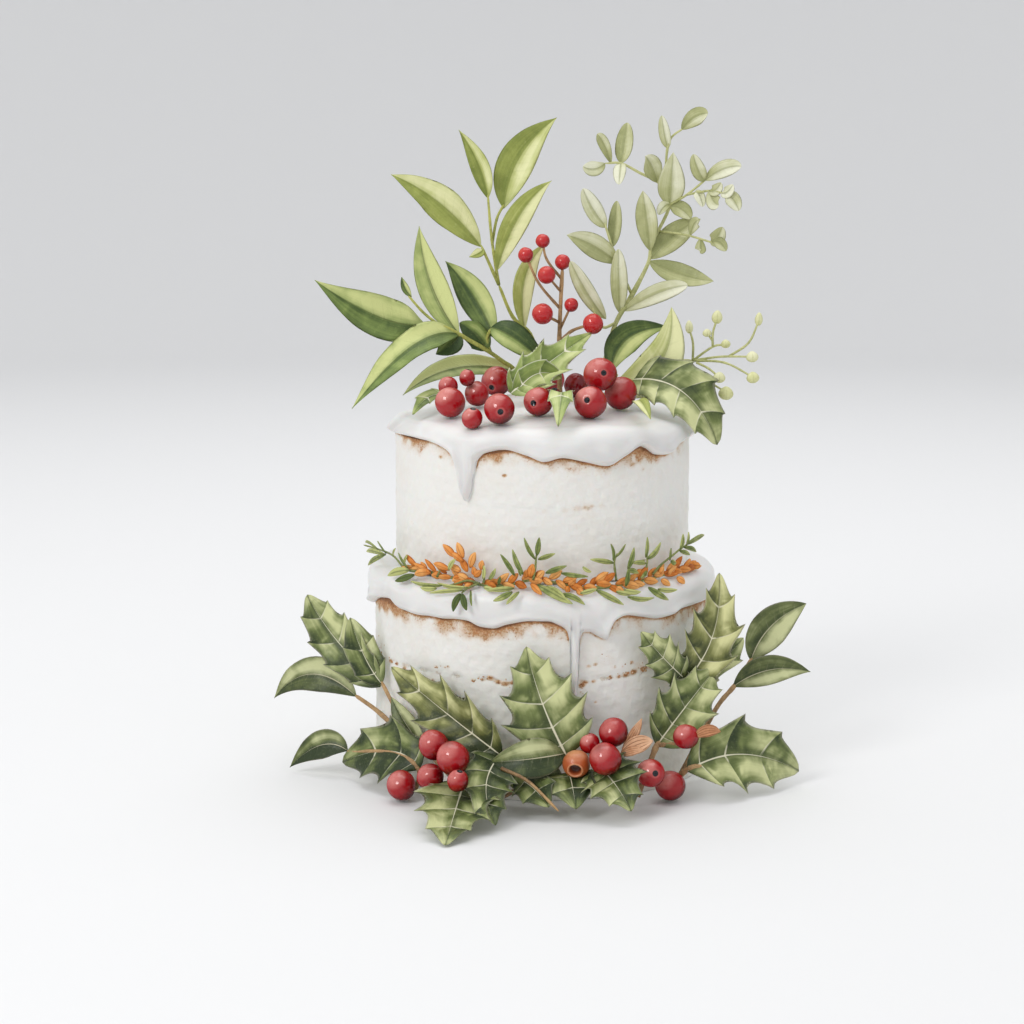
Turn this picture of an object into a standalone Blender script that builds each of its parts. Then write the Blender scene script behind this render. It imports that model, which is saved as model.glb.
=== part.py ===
"""A two-tier berry cake: iced sponge tiers, red berries, holly and green sprigs.

Lengths are millimetres until a mesh is written in metres. +Z is up, the front is -Y, and the
origin is the middle of the cake's foot. What the front shows is placed by `seen`: so far across
and so far up as it looks from the eye, and so far towards the eye from the cake's axis.
"""

import math
import random

import bmesh
import bpy
from mathutils import Vector

MM = 0.001
GAP = 0.3
TAU = math.tau

# Cake and icing
UPPER_RADIUS = 75.0
LOWER_RADIUS = 86.0
LOWER_JOINT = 59.0
LOWER_TOP = 98.0
LOWER_ICING_TOP = 104.0
UPPER_JOINT = 141.0
UPPER_TOP = 170.0
UPPER_ICING_TOP = 179.0
UPPER_EDGE = 169.0
LOWER_EDGE = 88.5
DOME_RISE = 7.5
DOME_RADIUS = 68.0
SKIRT_THICK = 2.4
CAKE_STEPS = 38
ICING_STEPS = 40

# Viewpoint of the drawing
EYE_BACK = 1100.0
EYE_UP = 300.0

# Plants
LEAF_THICK = 0.9
PLANT_DEPTH = 9.0
TWIG_SIDES = 4
STEM_SIDES = 5
BERRY_STEPS = 8
SPRIG_KEEP = 0.66

# Garland at the foot of the upper tier
GARLAND_RADIUS = 79.6
BUD_SPACING = 8.0
BUD_LENGTH = 12.0
BUD_WIDTH = 5.0
NEEDLE_LENGTH = 15.0
NEEDLE_WIDTH = 2.8
GARLAND_KEEP = 0.78

# Swags and drips of the icing: how far across the front, drop, half-width
UPPER_SWAGS = ((-38, 5.5, 9), (0, 5.5, 9), (17, 3, 8), (31, 8, 11), (58, 6, 5))
UPPER_DRIPS = ((-38, 20, 4.0),)
LOWER_SWAGS = ((-86, 5, 9), (-50, 2, 10), (-27, 4.5, 9), (15, 5, 8), (27, 9, 9), (62, 3.5, 9))
LOWER_DRIPS = ((16.5, 38, 4.2),)
# The same behind: bearing in degrees from the front
UPPER_BACK_SWAGS = ((112, 6, 10), (150, 8, 12), (196, 5, 9), (232, 7, 11))
UPPER_BACK_DRIPS = ((150, 15, 4.4), (232, 9, 4.0))
LOWER_BACK_SWAGS = ((105, 6, 12), (135, 4, 9), (172, 7, 12), (214, 5, 10), (246, 7, 11))
LOWER_BACK_DRIPS = ((172, 22, 4.6), (246, 12, 4.2))

COLOURS = {
    "sponge": ((0.80, 0.74, 0.64), 0.85),
    "icing": ((0.88, 0.88, 0.87), 0.35),
    "berry": ((0.42, 0.012, 0.015), 0.22),
    "dark_berry": ((0.20, 0.008, 0.012), 0.25),
    "leaf": ((0.17, 0.28, 0.06), 0.45),
    "spring_leaf": ((0.32, 0.44, 0.12), 0.5),
    "holly": ((0.10, 0.17, 0.07), 0.4),
    "pale_leaf": ((0.45, 0.52, 0.33), 0.55),
    "bud": ((0.62, 0.22, 0.05), 0.6),
    "rosemary": ((0.14, 0.26, 0.07), 0.55),
    "hip": ((0.48, 0.14, 0.05), 0.4),
    "dried": ((0.60, 0.32, 0.18), 0.7),
}


def clear_scene():
    """Remove what a new file holds."""
    for thing in list(bpy.data.objects):
        bpy.data.objects.remove(thing)


def finish(kind):
    """Material of one kind of piece, made once."""
    found = bpy.data.materials.get(kind)
    if found:
        return found
    colour, roughness = COLOURS[kind]
    material = bpy.data.materials.new(kind)
    material.use_nodes = True
    shader = material.node_tree.nodes["Principled BSDF"]
    shader.inputs["Base Color"].default_value = (*colour, 1.0)
    shader.inputs["Roughness"].default_value = roughness
    shader.inputs["Metallic"].default_value = 0.0
    return material


def seen(across, up, toward):
    """Place of a point that looks to be at (across, up), `toward` nearer than the axis."""
    share = toward / EYE_BACK
    return Vector((across * (1 - share), -toward, up + (EYE_UP - up) * share))


def bearing(across, radius):
    """Angle round a wall of this radius at which a point looks to be so far across."""
    x = min(across, radius)
    for _ in range(4):
        depth = math.sqrt(max(radius * radius - x * x, 0.0))
        x = max(-radius, min(radius, across * (1 - depth / EYE_BACK)))
    return math.asin(x / radius)


def round_at(angle, radius, height):
    """Point at an angle from the front, a radius and a height."""
    return Vector((radius * math.sin(angle), -radius * math.cos(angle), height))


def icing_height(x, y):
    """Height of the upper icing's top."""
    radius = math.hypot(x, y)
    dome = DOME_RISE * max(0.0, 1 - (radius / DOME_RADIUS) ** 2)
    fall = 0.05 * max(0.0, radius - UPPER_RADIUS + 8) ** 2
    return UPPER_ICING_TOP + dome - fall


def mesh_object(name, points, faces):
    """Closed mesh object in metres with its faces turned outwards."""
    mesh = bpy.data.meshes.new(name)
    mesh.from_pydata([tuple(point * MM) for point in points], [], faces)
    sheet = bmesh.new()
    sheet.from_mesh(mesh)
    bmesh.ops.triangulate(sheet, faces=sheet.faces)
    bmesh.ops.recalc_face_normals(sheet, faces=sheet.faces)
    sheet.to_mesh(mesh)
    sheet.free()
    thing = bpy.data.objects.new(name, mesh)
    bpy.context.scene.collection.objects.link(thing)
    return thing


def dress(thing, kind):
    """Give a finished object its material and smooth shading."""
    thing.data.materials.clear()
    thing.data.materials.append(finish(kind))
    thing.data.shade_smooth()
    thing.data.set_sharp_from_angle(angle=math.radians(40))
    return thing


def is_closed(mesh):
    """Whether every edge joins exactly two faces."""
    sheet = bmesh.new()
    sheet.from_mesh(mesh)
    closed = all(len(edge.link_faces) == 2 for edge in sheet.edges)
    sheet.free()
    return closed


def combine(thing, others, operation, solver="EXACT", keep=1.0):
    """One Boolean of a collection of objects on `thing`, applied, with the others removed.

    About the share `keep` of its triangles stays, so the slivers at the joints go. A little more
    is kept wherever the thinned solid would not be closed.
    """
    group = bpy.data.collections.new(thing.name + "_pieces")
    for other in others:
        group.objects.link(other)
    change = thing.modifiers.new("join", "BOOLEAN")
    change.operation = operation
    change.solver = solver
    change.operand_type = "COLLECTION"
    change.collection = group
    thinner = thing.modifiers.new("thin", "DECIMATE")
    while True:
        thinner.ratio = min(keep, 1.0)
        bpy.context.view_layer.update()
        evaluated = thing.evaluated_get(bpy.context.evaluated_depsgraph_get())
        result = bpy.data.meshes.new_from_object(evaluated)
        if keep >= 1.0 or is_closed(result):
            break
        keep += 0.03
    thing.modifiers.clear()
    thing.data = result
    for other in others:
        bpy.data.objects.remove(other)
    bpy.data.collections.remove(group)
    return thing


def turned(name, rings, centres):
    """Solid between a first and a last point through rings of points, one per step."""
    first, last = centres
    steps = len(rings[0])
    points = [first]
    for ring in rings:
        points += ring
    points.append(last)
    faces = []
    for k in range(steps):
        after = (k + 1) % steps
        faces.append((0, 1 + after, 1 + k))
        end = 1 + (len(rings) - 1) * steps
        faces.append((len(points) - 1, end + k, end + after))
    for row in range(len(rings) - 1):
        low = 1 + row * steps
        high = low + steps
        for k in range(steps):
            after = (k + 1) % steps
            faces.append((low + k, low + after, high + after, high + k))
    return mesh_object(name, points, faces)


# Cake layers


def crumb(angle, height):
    """How far the rough sponge lies inside its full radius."""
    wide = math.sin(5 * angle + 0.05 * height) * math.sin(3 * angle + 1.3)
    fine = math.sin(17 * angle + 0.21 * height) * math.cos(11 * angle - 0.13 * height)
    return 0.55 + 0.3 * wide + 0.25 * fine


def layer(name, foot, top, radius, foot_round, top_round):
    """One sponge layer with rough sides, its edges rounded in by the given amounts."""
    heights = (foot, foot + foot_round, top - top_round, top)
    insets = (foot_round, 0.0, 0.0, top_round)
    rings = []
    for height, inset in zip(heights, insets):
        ring = []
        for k in range(CAKE_STEPS):
            angle = TAU * k / CAKE_STEPS
            ring.append(round_at(angle, radius - inset - crumb(angle, height), height))
        rings.append(ring)
    centres = (Vector((0, 0, foot)), Vector((0, 0, top)))
    return dress(turned(name, rings, centres), "sponge")


def cake_layers():
    """Four sponge layers, two to a tier."""
    foot = LOWER_ICING_TOP + GAP
    layer("lower_layer_bottom", 0.0, LOWER_JOINT, LOWER_RADIUS, 2.0, 1.6)
    layer("lower_layer_top", LOWER_JOINT + GAP, LOWER_TOP, LOWER_RADIUS, 1.4, 2.2)
    layer("upper_layer_bottom", foot, UPPER_JOINT, UPPER_RADIUS, 1.5, 1.0)
    layer("upper_layer_top", UPPER_JOINT + GAP, UPPER_TOP, UPPER_RADIUS, 1.0, 2.2)


# Icing


def lobes(front, behind, radius):
    """Bearing in radians, drop and half-width in radians of each swag or drip."""
    rows = [(bearing(across, radius), drop, half / radius) for across, drop, half in front]
    rows += [(math.radians(angle), drop, half / radius) for angle, drop, half in behind]
    return rows


def off_centre(angle, centre, half):
    """Signed distance from a lobe's centre in half-widths."""
    return ((angle - centre + math.pi) % TAU - math.pi) / half


def edge_height(angle, level, swags, drips):
    """Height of the icing's lower edge: a level less each swag and each round-ended drip."""
    height = level + 0.7 * math.sin(4 * angle + 0.6)
    for centre, drop, half in swags:
        height -= drop * math.exp(-off_centre(angle, centre, half) ** 2)
    for centre, drop, half in drips:
        height -= drop * math.sqrt(max(0.0, 1 - off_centre(angle, centre, half) ** 2))
    return height


def icing_angles(drips):
    """Even steps round the cake with closer ones at each drip."""
    close = []
    for centre, _, half in drips:
        close += [centre + half * share for share in (-1.2, -0.9, 0.0, 0.9, 1.2)]
    even = [TAU * k / ICING_STEPS for k in range(ICING_STEPS)]
    kept = [a for a in even if all(abs(off_centre(a, b, 1.0)) > 0.045 for b in close)]
    return sorted((angle % TAU) for angle in kept + close)


def icing(name, radius, under, top, level, swags, drips, dome):
    """Cap over a tier whose skirt hangs down the side to a wavy, dripping edge."""
    angles = icing_angles(drips)
    domed = (0.4 * DOME_RADIUS, 0.8 * DOME_RADIUS) if dome else ()
    rings = []
    for angle in angles:
        edge = edge_height(angle, level, swags, drips)
        swell = 0.5 * math.sin(7 * angle) + 0.024 * (level - edge)
        inner = radius + GAP
        thick = SKIRT_THICK + swell
        profile = tuple((out, top + dome * (1 - (out / DOME_RADIUS) ** 2)) for out in domed) + (
            (radius - 6, top - 0.2),
            (radius - 0.5, top - 2.6),
            (inner + 0.75 * thick, top - 6.5),
            (inner + thick, edge + 2.0),
            (inner + 0.55 * thick, edge),
            (inner, edge + 0.8),
            (inner, under),
        )
        rings.append([round_at(angle, out, height) for out, height in profile])
    rings = [list(ring) for ring in zip(*rings)]
    centres = (Vector((0, 0, top + dome)), Vector((0, 0, under)))
    return turned(name, rings, centres)


def lower_icing():
    """Icing of the lower tier."""
    swags = lobes(LOWER_SWAGS, LOWER_BACK_SWAGS, LOWER_RADIUS)
    drips = lobes(LOWER_DRIPS, LOWER_BACK_DRIPS, LOWER_RADIUS)
    under = LOWER_TOP + GAP
    top = LOWER_ICING_TOP
    cap = icing("lower_icing", LOWER_RADIUS, under, top, LOWER_EDGE, swags, drips, 0.0)
    dress(cap, "icing")


def upper_icing(sockets):
    """Icing of the upper tier with a blind hole for each planted stem."""
    swags = lobes(UPPER_SWAGS, UPPER_BACK_SWAGS, UPPER_RADIUS)
    drips = lobes(UPPER_DRIPS, UPPER_BACK_DRIPS, UPPER_RADIUS)
    under = UPPER_TOP + GAP
    top = UPPER_ICING_TOP
    cap = icing("upper_icing", UPPER_RADIUS, under, top, UPPER_EDGE, swags, drips, DOME_RISE)
    cutters = []
    for low, high, radius in sockets:
        wide = (radius + 1.3 * GAP) / math.cos(math.pi / 8)
        below = low - (high - low).normalized() * GAP
        cutters.append(tube("socket", [below, high], wide, wide, 8, 1))
    combine(cap, cutters, "DIFFERENCE", "MANIFOLD")
    dress(cap, "icing")


# Berries


def berry(name, centre, radius, facing=(0.3, -0.5, 0.8), kind="berry", pit=0.16, long=1.05):
    """Round berry, a little long, with a small pit where its eye faces."""
    axis = Vector(facing).normalized()
    side = axis.orthogonal().normalized()
    other = axis.cross(side)
    rings = []
    for degrees in (17, 56, 98, 144):
        polar = math.radians(degrees)
        ring = []
        for k in range(BERRY_STEPS):
            angle = TAU * k / BERRY_STEPS
            out = side * math.cos(angle) + other * math.sin(angle)
            along = axis * (long * math.cos(polar))
            ring.append(centre + (out * math.sin(polar) + along) * radius)
        rings.append(ring)
    poles = (centre + axis * (long * radius * (1 - pit)), centre - axis * (long * radius))
    return dress(turned(name, rings, poles), kind)


def let_down(x, y, radius, placed):
    """Lowest height at which a berry clears the icing and the berries placed before it."""
    reach = 1.05 * radius
    height = icing_height(x, y) + reach + GAP
    for centre, other in placed:
        apart = 1.05 * (radius + other) + GAP
        flat = math.hypot(x - centre.x, y - centre.y)
        if flat < apart:
            height = max(height, centre.z + math.sqrt(apart * apart - flat * flat))
    return height


# x, y, radius, and which way the eye faces
TOP_BERRIES = (
    (-45, -44, 7.3, (-0.6, 0.5, 0.4)),
    (-33.5, -65, 5.0, (0.1, -0.3, 1)),
    (-20.5, -64, 7.4, (0.1, -1, -0.1)),
    (-32.5, -24, 6.0, (0, 0.5, 1)),
    (-23.5, 8, 7.6, (-0.35, -1, -0.4)),
    (-46.5, -33, 4.8, (-0.2, 0.3, 1)),
    (-37, -29, 4.0, (0.2, 0, 1)),
    (-2, -53, 7.0, (-0.35, -1, 0)),
    (23, -53, 7.8, (-0.25, -1, 0.25)),
    (38.8, -29, 7.9, (0.6, 0.4, 0.6)),
    (17, -4, 6.0, (0, 0.5, 1)),
    (28.5, -38, 8.2, (0.2, -1, 0.18)),
    (6, -15, 3.0, (0, -0.5, 1)),
    (-14, 44, 7.0, (0.3, 1, 0.3)),
    (4, 51, 7.6, (-0.3, 1, 0.2)),
)
DARK_TOP_BERRIES = (11, 13)

# Across, up, toward, radius, and which way the eye faces
BASE_BERRIES = (
    (-56, 4.5, 99, 7.1, (-0.5, 0.3, 0.6)),
    (-46, -2.5, 112, 7.8, (0.3, 0.2, -0.9)),
    (-58, -12.5, 103, 6.3, (-0.6, 0.6, -0.4)),
    (-43.5, -15, 125, 5.0, (0.2, -0.2, 1)),
    (-73, -17.5, 88, 7.0, (-0.4, 0.5, 0.5)),
    (25, 5.5, 100, 4.8, (0, 0.4, 1)),
    (37.5, 11.5, 98, 6.9, (0.2, 0.6, 0.5)),
    (33, -3, 113, 7.5, (0.4, 0.4, -0.8)),
    (75, 9.5, 90, 5.9, (1, 0.1, 0.1)),
    (57, -10, 101, 6.7, (0.3, -1, 0.25)),
    (67, -17, 86.5, 7.2, (0.5, 0.3, -0.6)),
)
ROSE_HIP = (18, -5.5, 106, 6.7)


def top_berries():
    """Berries on the upper icing, each let down onto what lies below it."""
    placed = []
    for number, (x, y, radius, facing) in enumerate(TOP_BERRIES, start=1):
        centre = Vector((x, y, let_down(x, y, radius, placed)))
        placed.append((centre, radius))
        kind = "dark_berry" if number in DARK_TOP_BERRIES else "berry"
        berry(f"top_berry_{number:02d}", centre, radius, facing, kind)


def base_berries():
    """Berries among the holly at the foot, and one open rose hip."""
    for number, (across, up, toward, radius, facing) in enumerate(BASE_BERRIES, start=1):
        berry(f"base_berry_{number:02d}", seen(across, up, toward), radius, facing)
    berry("base_rose_hip", seen(*ROSE_HIP[:3]), ROSE_HIP[3], (-0.1, -1, -0.05), "hip", 0.75, 1.0)


# Leaves and stems


def smooth_outline(stations, fullest):
    """Half-widths of a plain leaf, widest at the share `fullest` of its length."""
    fall = 0.85
    rise = fall * fullest / (1 - fullest)
    peak = fullest**rise * (1 - fullest) ** fall
    rows = []
    for k in range(stations + 1):
        t = k / stations
        rows.append((t, t**rise * (1 - t) ** fall / peak))
    return rows


def holly_outline(spines):
    """Half-widths of a holly leaf: points on an oval with hollows between them."""
    rows = [(0.0, 0.05)]
    for k in range(spines):
        point = (k + 0.75) / (spines + 0.6)
        hollow = (k + 1.2) / (spines + 0.6)
        rows.append((point, math.sin(math.pi * point**0.8) ** 0.6))
        rows.append((hollow, 0.58 * math.sin(math.pi * hollow**0.8) ** 0.6))
    rows.append((1.0, 0.0))
    return rows


LONG = smooth_outline(7, 0.42)
BROAD = smooth_outline(6, 0.45)
SMALL = smooth_outline(3, 0.5)
HOLLY = holly_outline(4)
PLAIN_HOLLY = holly_outline(3)
SMALL_HOLLY = holly_outline(2)


def leaf(base, middle, tip, width, outline, face=(0, -1, 0.3), fold=0.22, wave=0.0):
    """Thin leaf along a bowed midrib, folded up from it, thickest there and sharp at its rim.

    Both faces are split into triangles alike, from the rim to the next station of the rib.
    """
    faced = Vector(face).normalized()
    rows = len(outline) - 1
    points = []
    for row, (t, share) in enumerate(outline):
        on_rib = base * ((1 - t) * (1 - 2 * t)) + middle * (4 * t * (1 - t)) + tip * (t * (2 * t - 1))
        along = base * (4 * t - 3) + middle * (4 - 8 * t) + tip * (4 * t - 1)
        along.normalize()
        out = (faced - along * faced.dot(along)).normalized()
        side = along.cross(out)
        if row == rows:
            points.append(on_rib)
            break
        half = max(0.5 * width * share, 0.45)
        lift = fold * half
        ripple = wave * math.sin(2.4 * row) * share
        deep = LEAF_THICK * (1 - 0.4 * t)
        points.append(on_rib - side * half + out * (lift + ripple))
        points.append(on_rib + out * 0.5 * deep)
        points.append(on_rib + side * half + out * (lift - ripple))
        points.append(on_rib - out * 0.5 * deep)
    faces = [(0, 1, 2, 3)]
    for row in range(rows - 1):
        low = 4 * row
        for k in range(4):
            here, beside = low + k, low + (k + 1) % 4
            on, across = here + 4, beside + 4
            if k % 2:
                faces += [(here, beside, on), (beside, across, on)]
            else:
                faces += [(here, beside, across), (here, across, on)]
    low = 4 * (rows - 1)
    for k in range(4):
        faces.append((low + k, low + (k + 1) % 4, 4 * rows))
    return mesh_object("leaf", points, faces)


def smooth_path(points, steps):
    """Points on a smooth curve through the given ones, `steps` to a span."""
    if len(points) == 2:
        return [points[0].lerp(points[1], k / steps) for k in range(steps + 1)]
    ends = [points[0] * 2 - points[1]] + list(points) + [points[-1] * 2 - points[-2]]
    path = []
    for k in range(1, len(ends) - 2):
        a, b, c, d = ends[k - 1:k + 3]
        for step in range(steps):
            t = step / steps
            cubic = (3 * (b - c) + d - a) * t**3 + (2 * a - 5 * b + 4 * c - d) * t**2
            path.append(b + 0.5 * (cubic + (c - a) * t))
    path.append(points[-1])
    return path


def tube(name, points, start, end, sides=TWIG_SIDES, steps=1):
    """Round stem through the points, tapering from one radius to another."""
    path = smooth_path(points, steps)
    rings = []
    side = (path[1] - path[0]).orthogonal().normalized()
    for k, place in enumerate(path):
        along = path[min(k + 1, len(path) - 1)] - path[max(k - 1, 0)]
        along.normalize()
        side = (side - along * side.dot(along)).normalized()
        other = along.cross(side)
        radius = start + (end - start) * k / (len(path) - 1)
        turns = [TAU * n / sides for n in range(sides)]
        rings.append([place + (side * math.cos(a) + other * math.sin(a)) * radius for a in turns])
    return turned(name, rings, (path[0].copy(), path[-1].copy()))


class Sprig:
    """Stems, leaves and small berries that grow from each other and become one solid."""

    def __init__(self, name, kind):
        self.name = name
        self.kind = kind
        self.pieces = []

    def stem(self, points, start=1.1, end=0.8, steps=2):
        """Add a stem through seen points."""
        places = [seen(*point) for point in points]
        self.pieces.append(tube("stem", places, start, end, TWIG_SIDES, steps))

    def planted_stem(self, x, y, points, sockets, start=1.3, end=0.8, steps=2):
        """Add a stem that stands in the upper icing at (x, y), and keep its socket."""
        surface = Vector((x, y, icing_height(x, y)))
        places = [seen(*point) for point in points]
        lean = (places[0] - surface).normalized()
        low = surface - lean * PLANT_DEPTH
        self.pieces.append(tube("stem", [low, surface] + places, start, end, STEM_SIDES, steps))
        sockets.append((low, surface + lean * 5, start))

    def stalk(self, start, berry_place, radius):
        """Add a short stalk from a seen point to just short of a berry."""
        foot = seen(*start)
        centre = seen(*berry_place)
        away = (foot - centre).normalized()
        end = centre + away * (1.05 * radius + 2 * GAP)
        self.pieces.append(tube("stalk", [foot, end], 0.8, 0.8))

    def leaf(self, base, middle, tip, width, outline, face=(0, -1, 0.3), fold=0.22, wave=0.0):
        """Add a leaf through three seen points."""
        places = [seen(*point) for point in (base, middle, tip)]
        self.pieces.append(leaf(*places, width, outline, face, fold, wave))

    def ball(self, place, radius, high=1.0):
        """Add a small berry or bud, `high` times as tall as it is wide."""
        centre = seen(*place)
        rings = []
        for degrees in (52, 128):
            polar = math.radians(degrees)
            level = centre.z + radius * high * math.cos(polar)
            out = 1.12 * radius * math.sin(polar)
            ring = [round_at(TAU * k / 6, out, 0.0) for k in range(6)]
            rings.append([Vector((centre.x + p.x, centre.y + p.y, level)) for p in ring])
        reach = Vector((0, 0, radius * high))
        self.pieces.append(turned("ball", rings, (centre + reach, centre - reach)))

    def finish(self, solver="EXACT", keep=SPRIG_KEEP):
        """Fuse the pieces into one solid."""
        whole = self.pieces[0]
        whole.name = self.name
        if len(self.pieces) > 1:
            combine(whole, self.pieces[1:], "UNION", solver, keep)
        dress(whole, self.kind)


# Greens on top


def long_leaf_branch(sockets):
    """Branch of long leaves that leans out to the left."""
    s = Sprig("long_leaf_branch", "leaf")
    bough = ((-14, 200, -10), (-20, 204.5, -8), (-28, 210, -5), (-42, 218, 2), (-50, 222, 6),
             (-60, 223, 10))
    s.planted_stem(-6, 14, bough, sockets, steps=1)
    s.stem(((-50, 221, 5), (-60, 229, 4), (-68, 238, 4)), 0.8, 0.6)
    s.leaf((-59, 223, 9), (-83, 227, 16), (-115, 245.5, 24), 22, LONG, wave=0.8)
    s.leaf((-42, 218, 2), (-56, 243, -6), (-62, 272.5, -16), 16, LONG, (0.2, -1, 0.2))
    s.leaf((-28, 210, -5), (-45, 240, -12), (-50, 255, -14), 17, LONG, (-0.3, -1, 0.2))
    s.leaf((-42, 218, 2), (-66, 212, 22), (-97, 180, 44), 17, LONG, (-0.2, -1, 0.5), wave=0.8)
    s.leaf((-14, 200, -10), (-46, 200, 14), (-71, 187, 36), 12, LONG, (-0.1, -0.8, 0.7))
    s.leaf((-66, 237, 4), (-69, 241, 4), (-71, 247, 4), 4, SMALL)
    s.leaf((-42, 218, 2), (-46, 213, 6), (-54, 208, 10), 11, SMALL)
    s.leaf((-28, 210, -5), (-34, 218, -3), (-42, 224, -2), 10, BROAD)
    s.leaf((-20, 204.5, -8), (-16, 215, 0), (0, 203, 2), 14, BROAD, (0.1, -1, 0.5))
    s.finish("MANIFOLD")


def centre_spray(sockets):
    """Upright spray of light leaves at the centre."""
    s = Sprig("centre_spray", "spring_leaf")
    s.planted_stem(-1, 23, ((-5, 216, -22), (-15, 227, -20), (-22, 243, -18)), sockets)
    s.stem(((-22, 243, -18), (-31, 263, -16)), 0.9, 0.7)
    s.stem(((-22, 243, -18), (-24, 255, -19), (-26, 270, -20), (-27.5, 288, -22)), 0.9, 0.6, 1)
    s.stem(((-25.3, 264, -20), (-23, 276, -24), (-19.5, 283, -27)), 0.8, 0.6, 1)
    s.leaf((-31, 262, -16), (-52, 284, -10), (-76, 298, -4), 18, LONG, (0.1, -1, 0.3), wave=0.8)
    s.leaf((-27.5, 286, -22), (-32, 303, -23), (-42, 320, -22), 10, LONG)
    s.leaf((-19.5, 281, -27), (-12, 306, -30), (7, 326, -34), 19, LONG, (0, -1, 0.2))
    s.leaf((-23, 250, -18), (-12, 277, -22), (4.5, 295, -28), 13, LONG, (0.1, -1, 0.2))
    s.leaf((-9, 220, -21), (-9, 246, -16), (2, 264, -14), 11, LONG, (0.2, -1, 0.2))
    s.leaf((-30, 261, -16), (-32, 259, -14), (-37, 257, -12), 5, SMALL)
    s.finish("MANIFOLD", 0.8)


def berry_sprig(sockets):
    """Brown twig with seven small berries."""
    s = Sprig("berry_sprig", "berry")
    s.planted_stem(9, 5, ((8.5, 211, -5), (9, 231, -5), (10, 252, -6)), sockets, 1.4, 0.9)
    s.stem(((9, 231, -5), (-2, 244, -3), (-8.5, 258, -2)), 0.8, 0.6)
    s.stem(((9.5, 246, -6), (2, 256, -7), (0, 265, -8)), 0.7, 0.6)
    s.stem(((9, 240, -5), (2, 248, 0)), 0.7, 0.6, 1)
    s.stem(((8.5, 214, -5), (15, 220, -3), (25.5, 223.5, 2)), 0.9, 0.7)
    s.stem(((8.6, 220, -5), (14.5, 233, -2)), 0.7, 0.6, 1)
    s.stem(((9, 224, -5), (0, 228.5, 2)), 0.8, 0.7, 1)
    berries = ((0, 265, -8, 3.6), (-8.5, 258, -2, 3.9), (2, 248, 1, 4.5), (10, 254.5, -6, 3.9),
               (0, 228.5, 3, 5.3), (14.5, 233, -2, 3.6), (25.5, 223.5, 3, 5.2))
    for across, up, toward, radius in berries:
        s.ball((across, up, toward), radius)
    s.finish()


def pale_spray(sockets):
    """Airy spray of small pale leaves at the right."""
    s = Sprig("pale_spray", "pale_leaf")
    main = ((33, 210, -15), (37, 224, -16), (45, 238, -18), (53, 254, -20), (55, 264, -21),
            (63.5, 283, -24), (59, 293, -26), (48, 299, -27), (39, 303.5, -26), (31, 303.5, -24))
    s.planted_stem(27, 15, main, sockets, 1.3, 0.6, 1)
    s.stem(((37, 224, -16), (30, 222, -10), (25, 232, -8)), 0.8, 0.6, 1)
    s.stem(((63.5, 283, -24), (72, 288, -20), (82, 296, -16)), 0.7, 0.5, 1)
    s.stem(((61, 288, -25), (62.5, 313, -28), (70, 321, -28)), 0.7, 0.5, 1)
    s.stem(((45, 238, -18), (37, 256, -14), (31, 274, -10)), 0.8, 0.6, 1)
    s.stem(((72, 288, -20), (84, 290, -12), (92, 288, -8)), 0.6, 0.5, 1)
    s.stem(((58, 270, -22), (72, 268, -14), (86, 264, -8)), 0.6, 0.5, 1)
    pairs = (
        ((39, 229, -17), (38, 261, -10), 9), ((41, 230, -17), (73, 243, -8), 10),
        ((32, 226, -11), (14, 255, 0), 9), ((54, 256, -20), (79, 276, -24), 13),
        ((53.5, 255, -20), (86, 245, -6), 12), ((54, 260, -20), (50, 290, -14), 11.5),
        ((63.5, 283, -24), (65, 309, -16), 14), ((57, 294, -26), (51, 307, -20), 11),
        ((39, 303.5, -26), (42, 323.5, -30), 9.5), ((34, 303.5, -25), (27, 318, -22), 6),
        ((31, 303.5, -24), (20, 302, -18), 8), ((39, 303.5, -26), (38, 293, -20), 7),
        ((62.5, 311, -28), (59, 327, -26), 6), ((69, 320, -28), (82, 328, -24), 9),
        ((81, 295, -16), (75, 308, -12), 7.5), ((81, 295, -16), (99, 302, -10), 9),
        ((32, 272, -11), (20, 291, -6), 10), ((38, 254, -15), (12, 268, -2), 12),
        ((35, 262, -13), (37, 285, -18), 7), ((63.3, 282, -24), (74, 276, -20), 9),
        ((83, 290, -12), (88, 283, -8), 8), ((91, 288, -8), (98, 280, -6), 8),
        ((84, 264.5, -9), (90, 272, -6), 8), ((85, 264.3, -8), (92, 260, -5), 6),
    )
    for number, (base, tip, width) in enumerate(pairs):
        bow = 2.0 if number % 2 else -2.0
        middle = [0.5 * (low + high) for low, high in zip(base, tip)]
        middle[1] += bow
        turn = 0.35 * math.sin(2.1 * number)
        s.leaf(base, middle, tip, width, SMALL, (turn, -1, 0.25), fold=0.16)
    s.finish()


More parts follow.
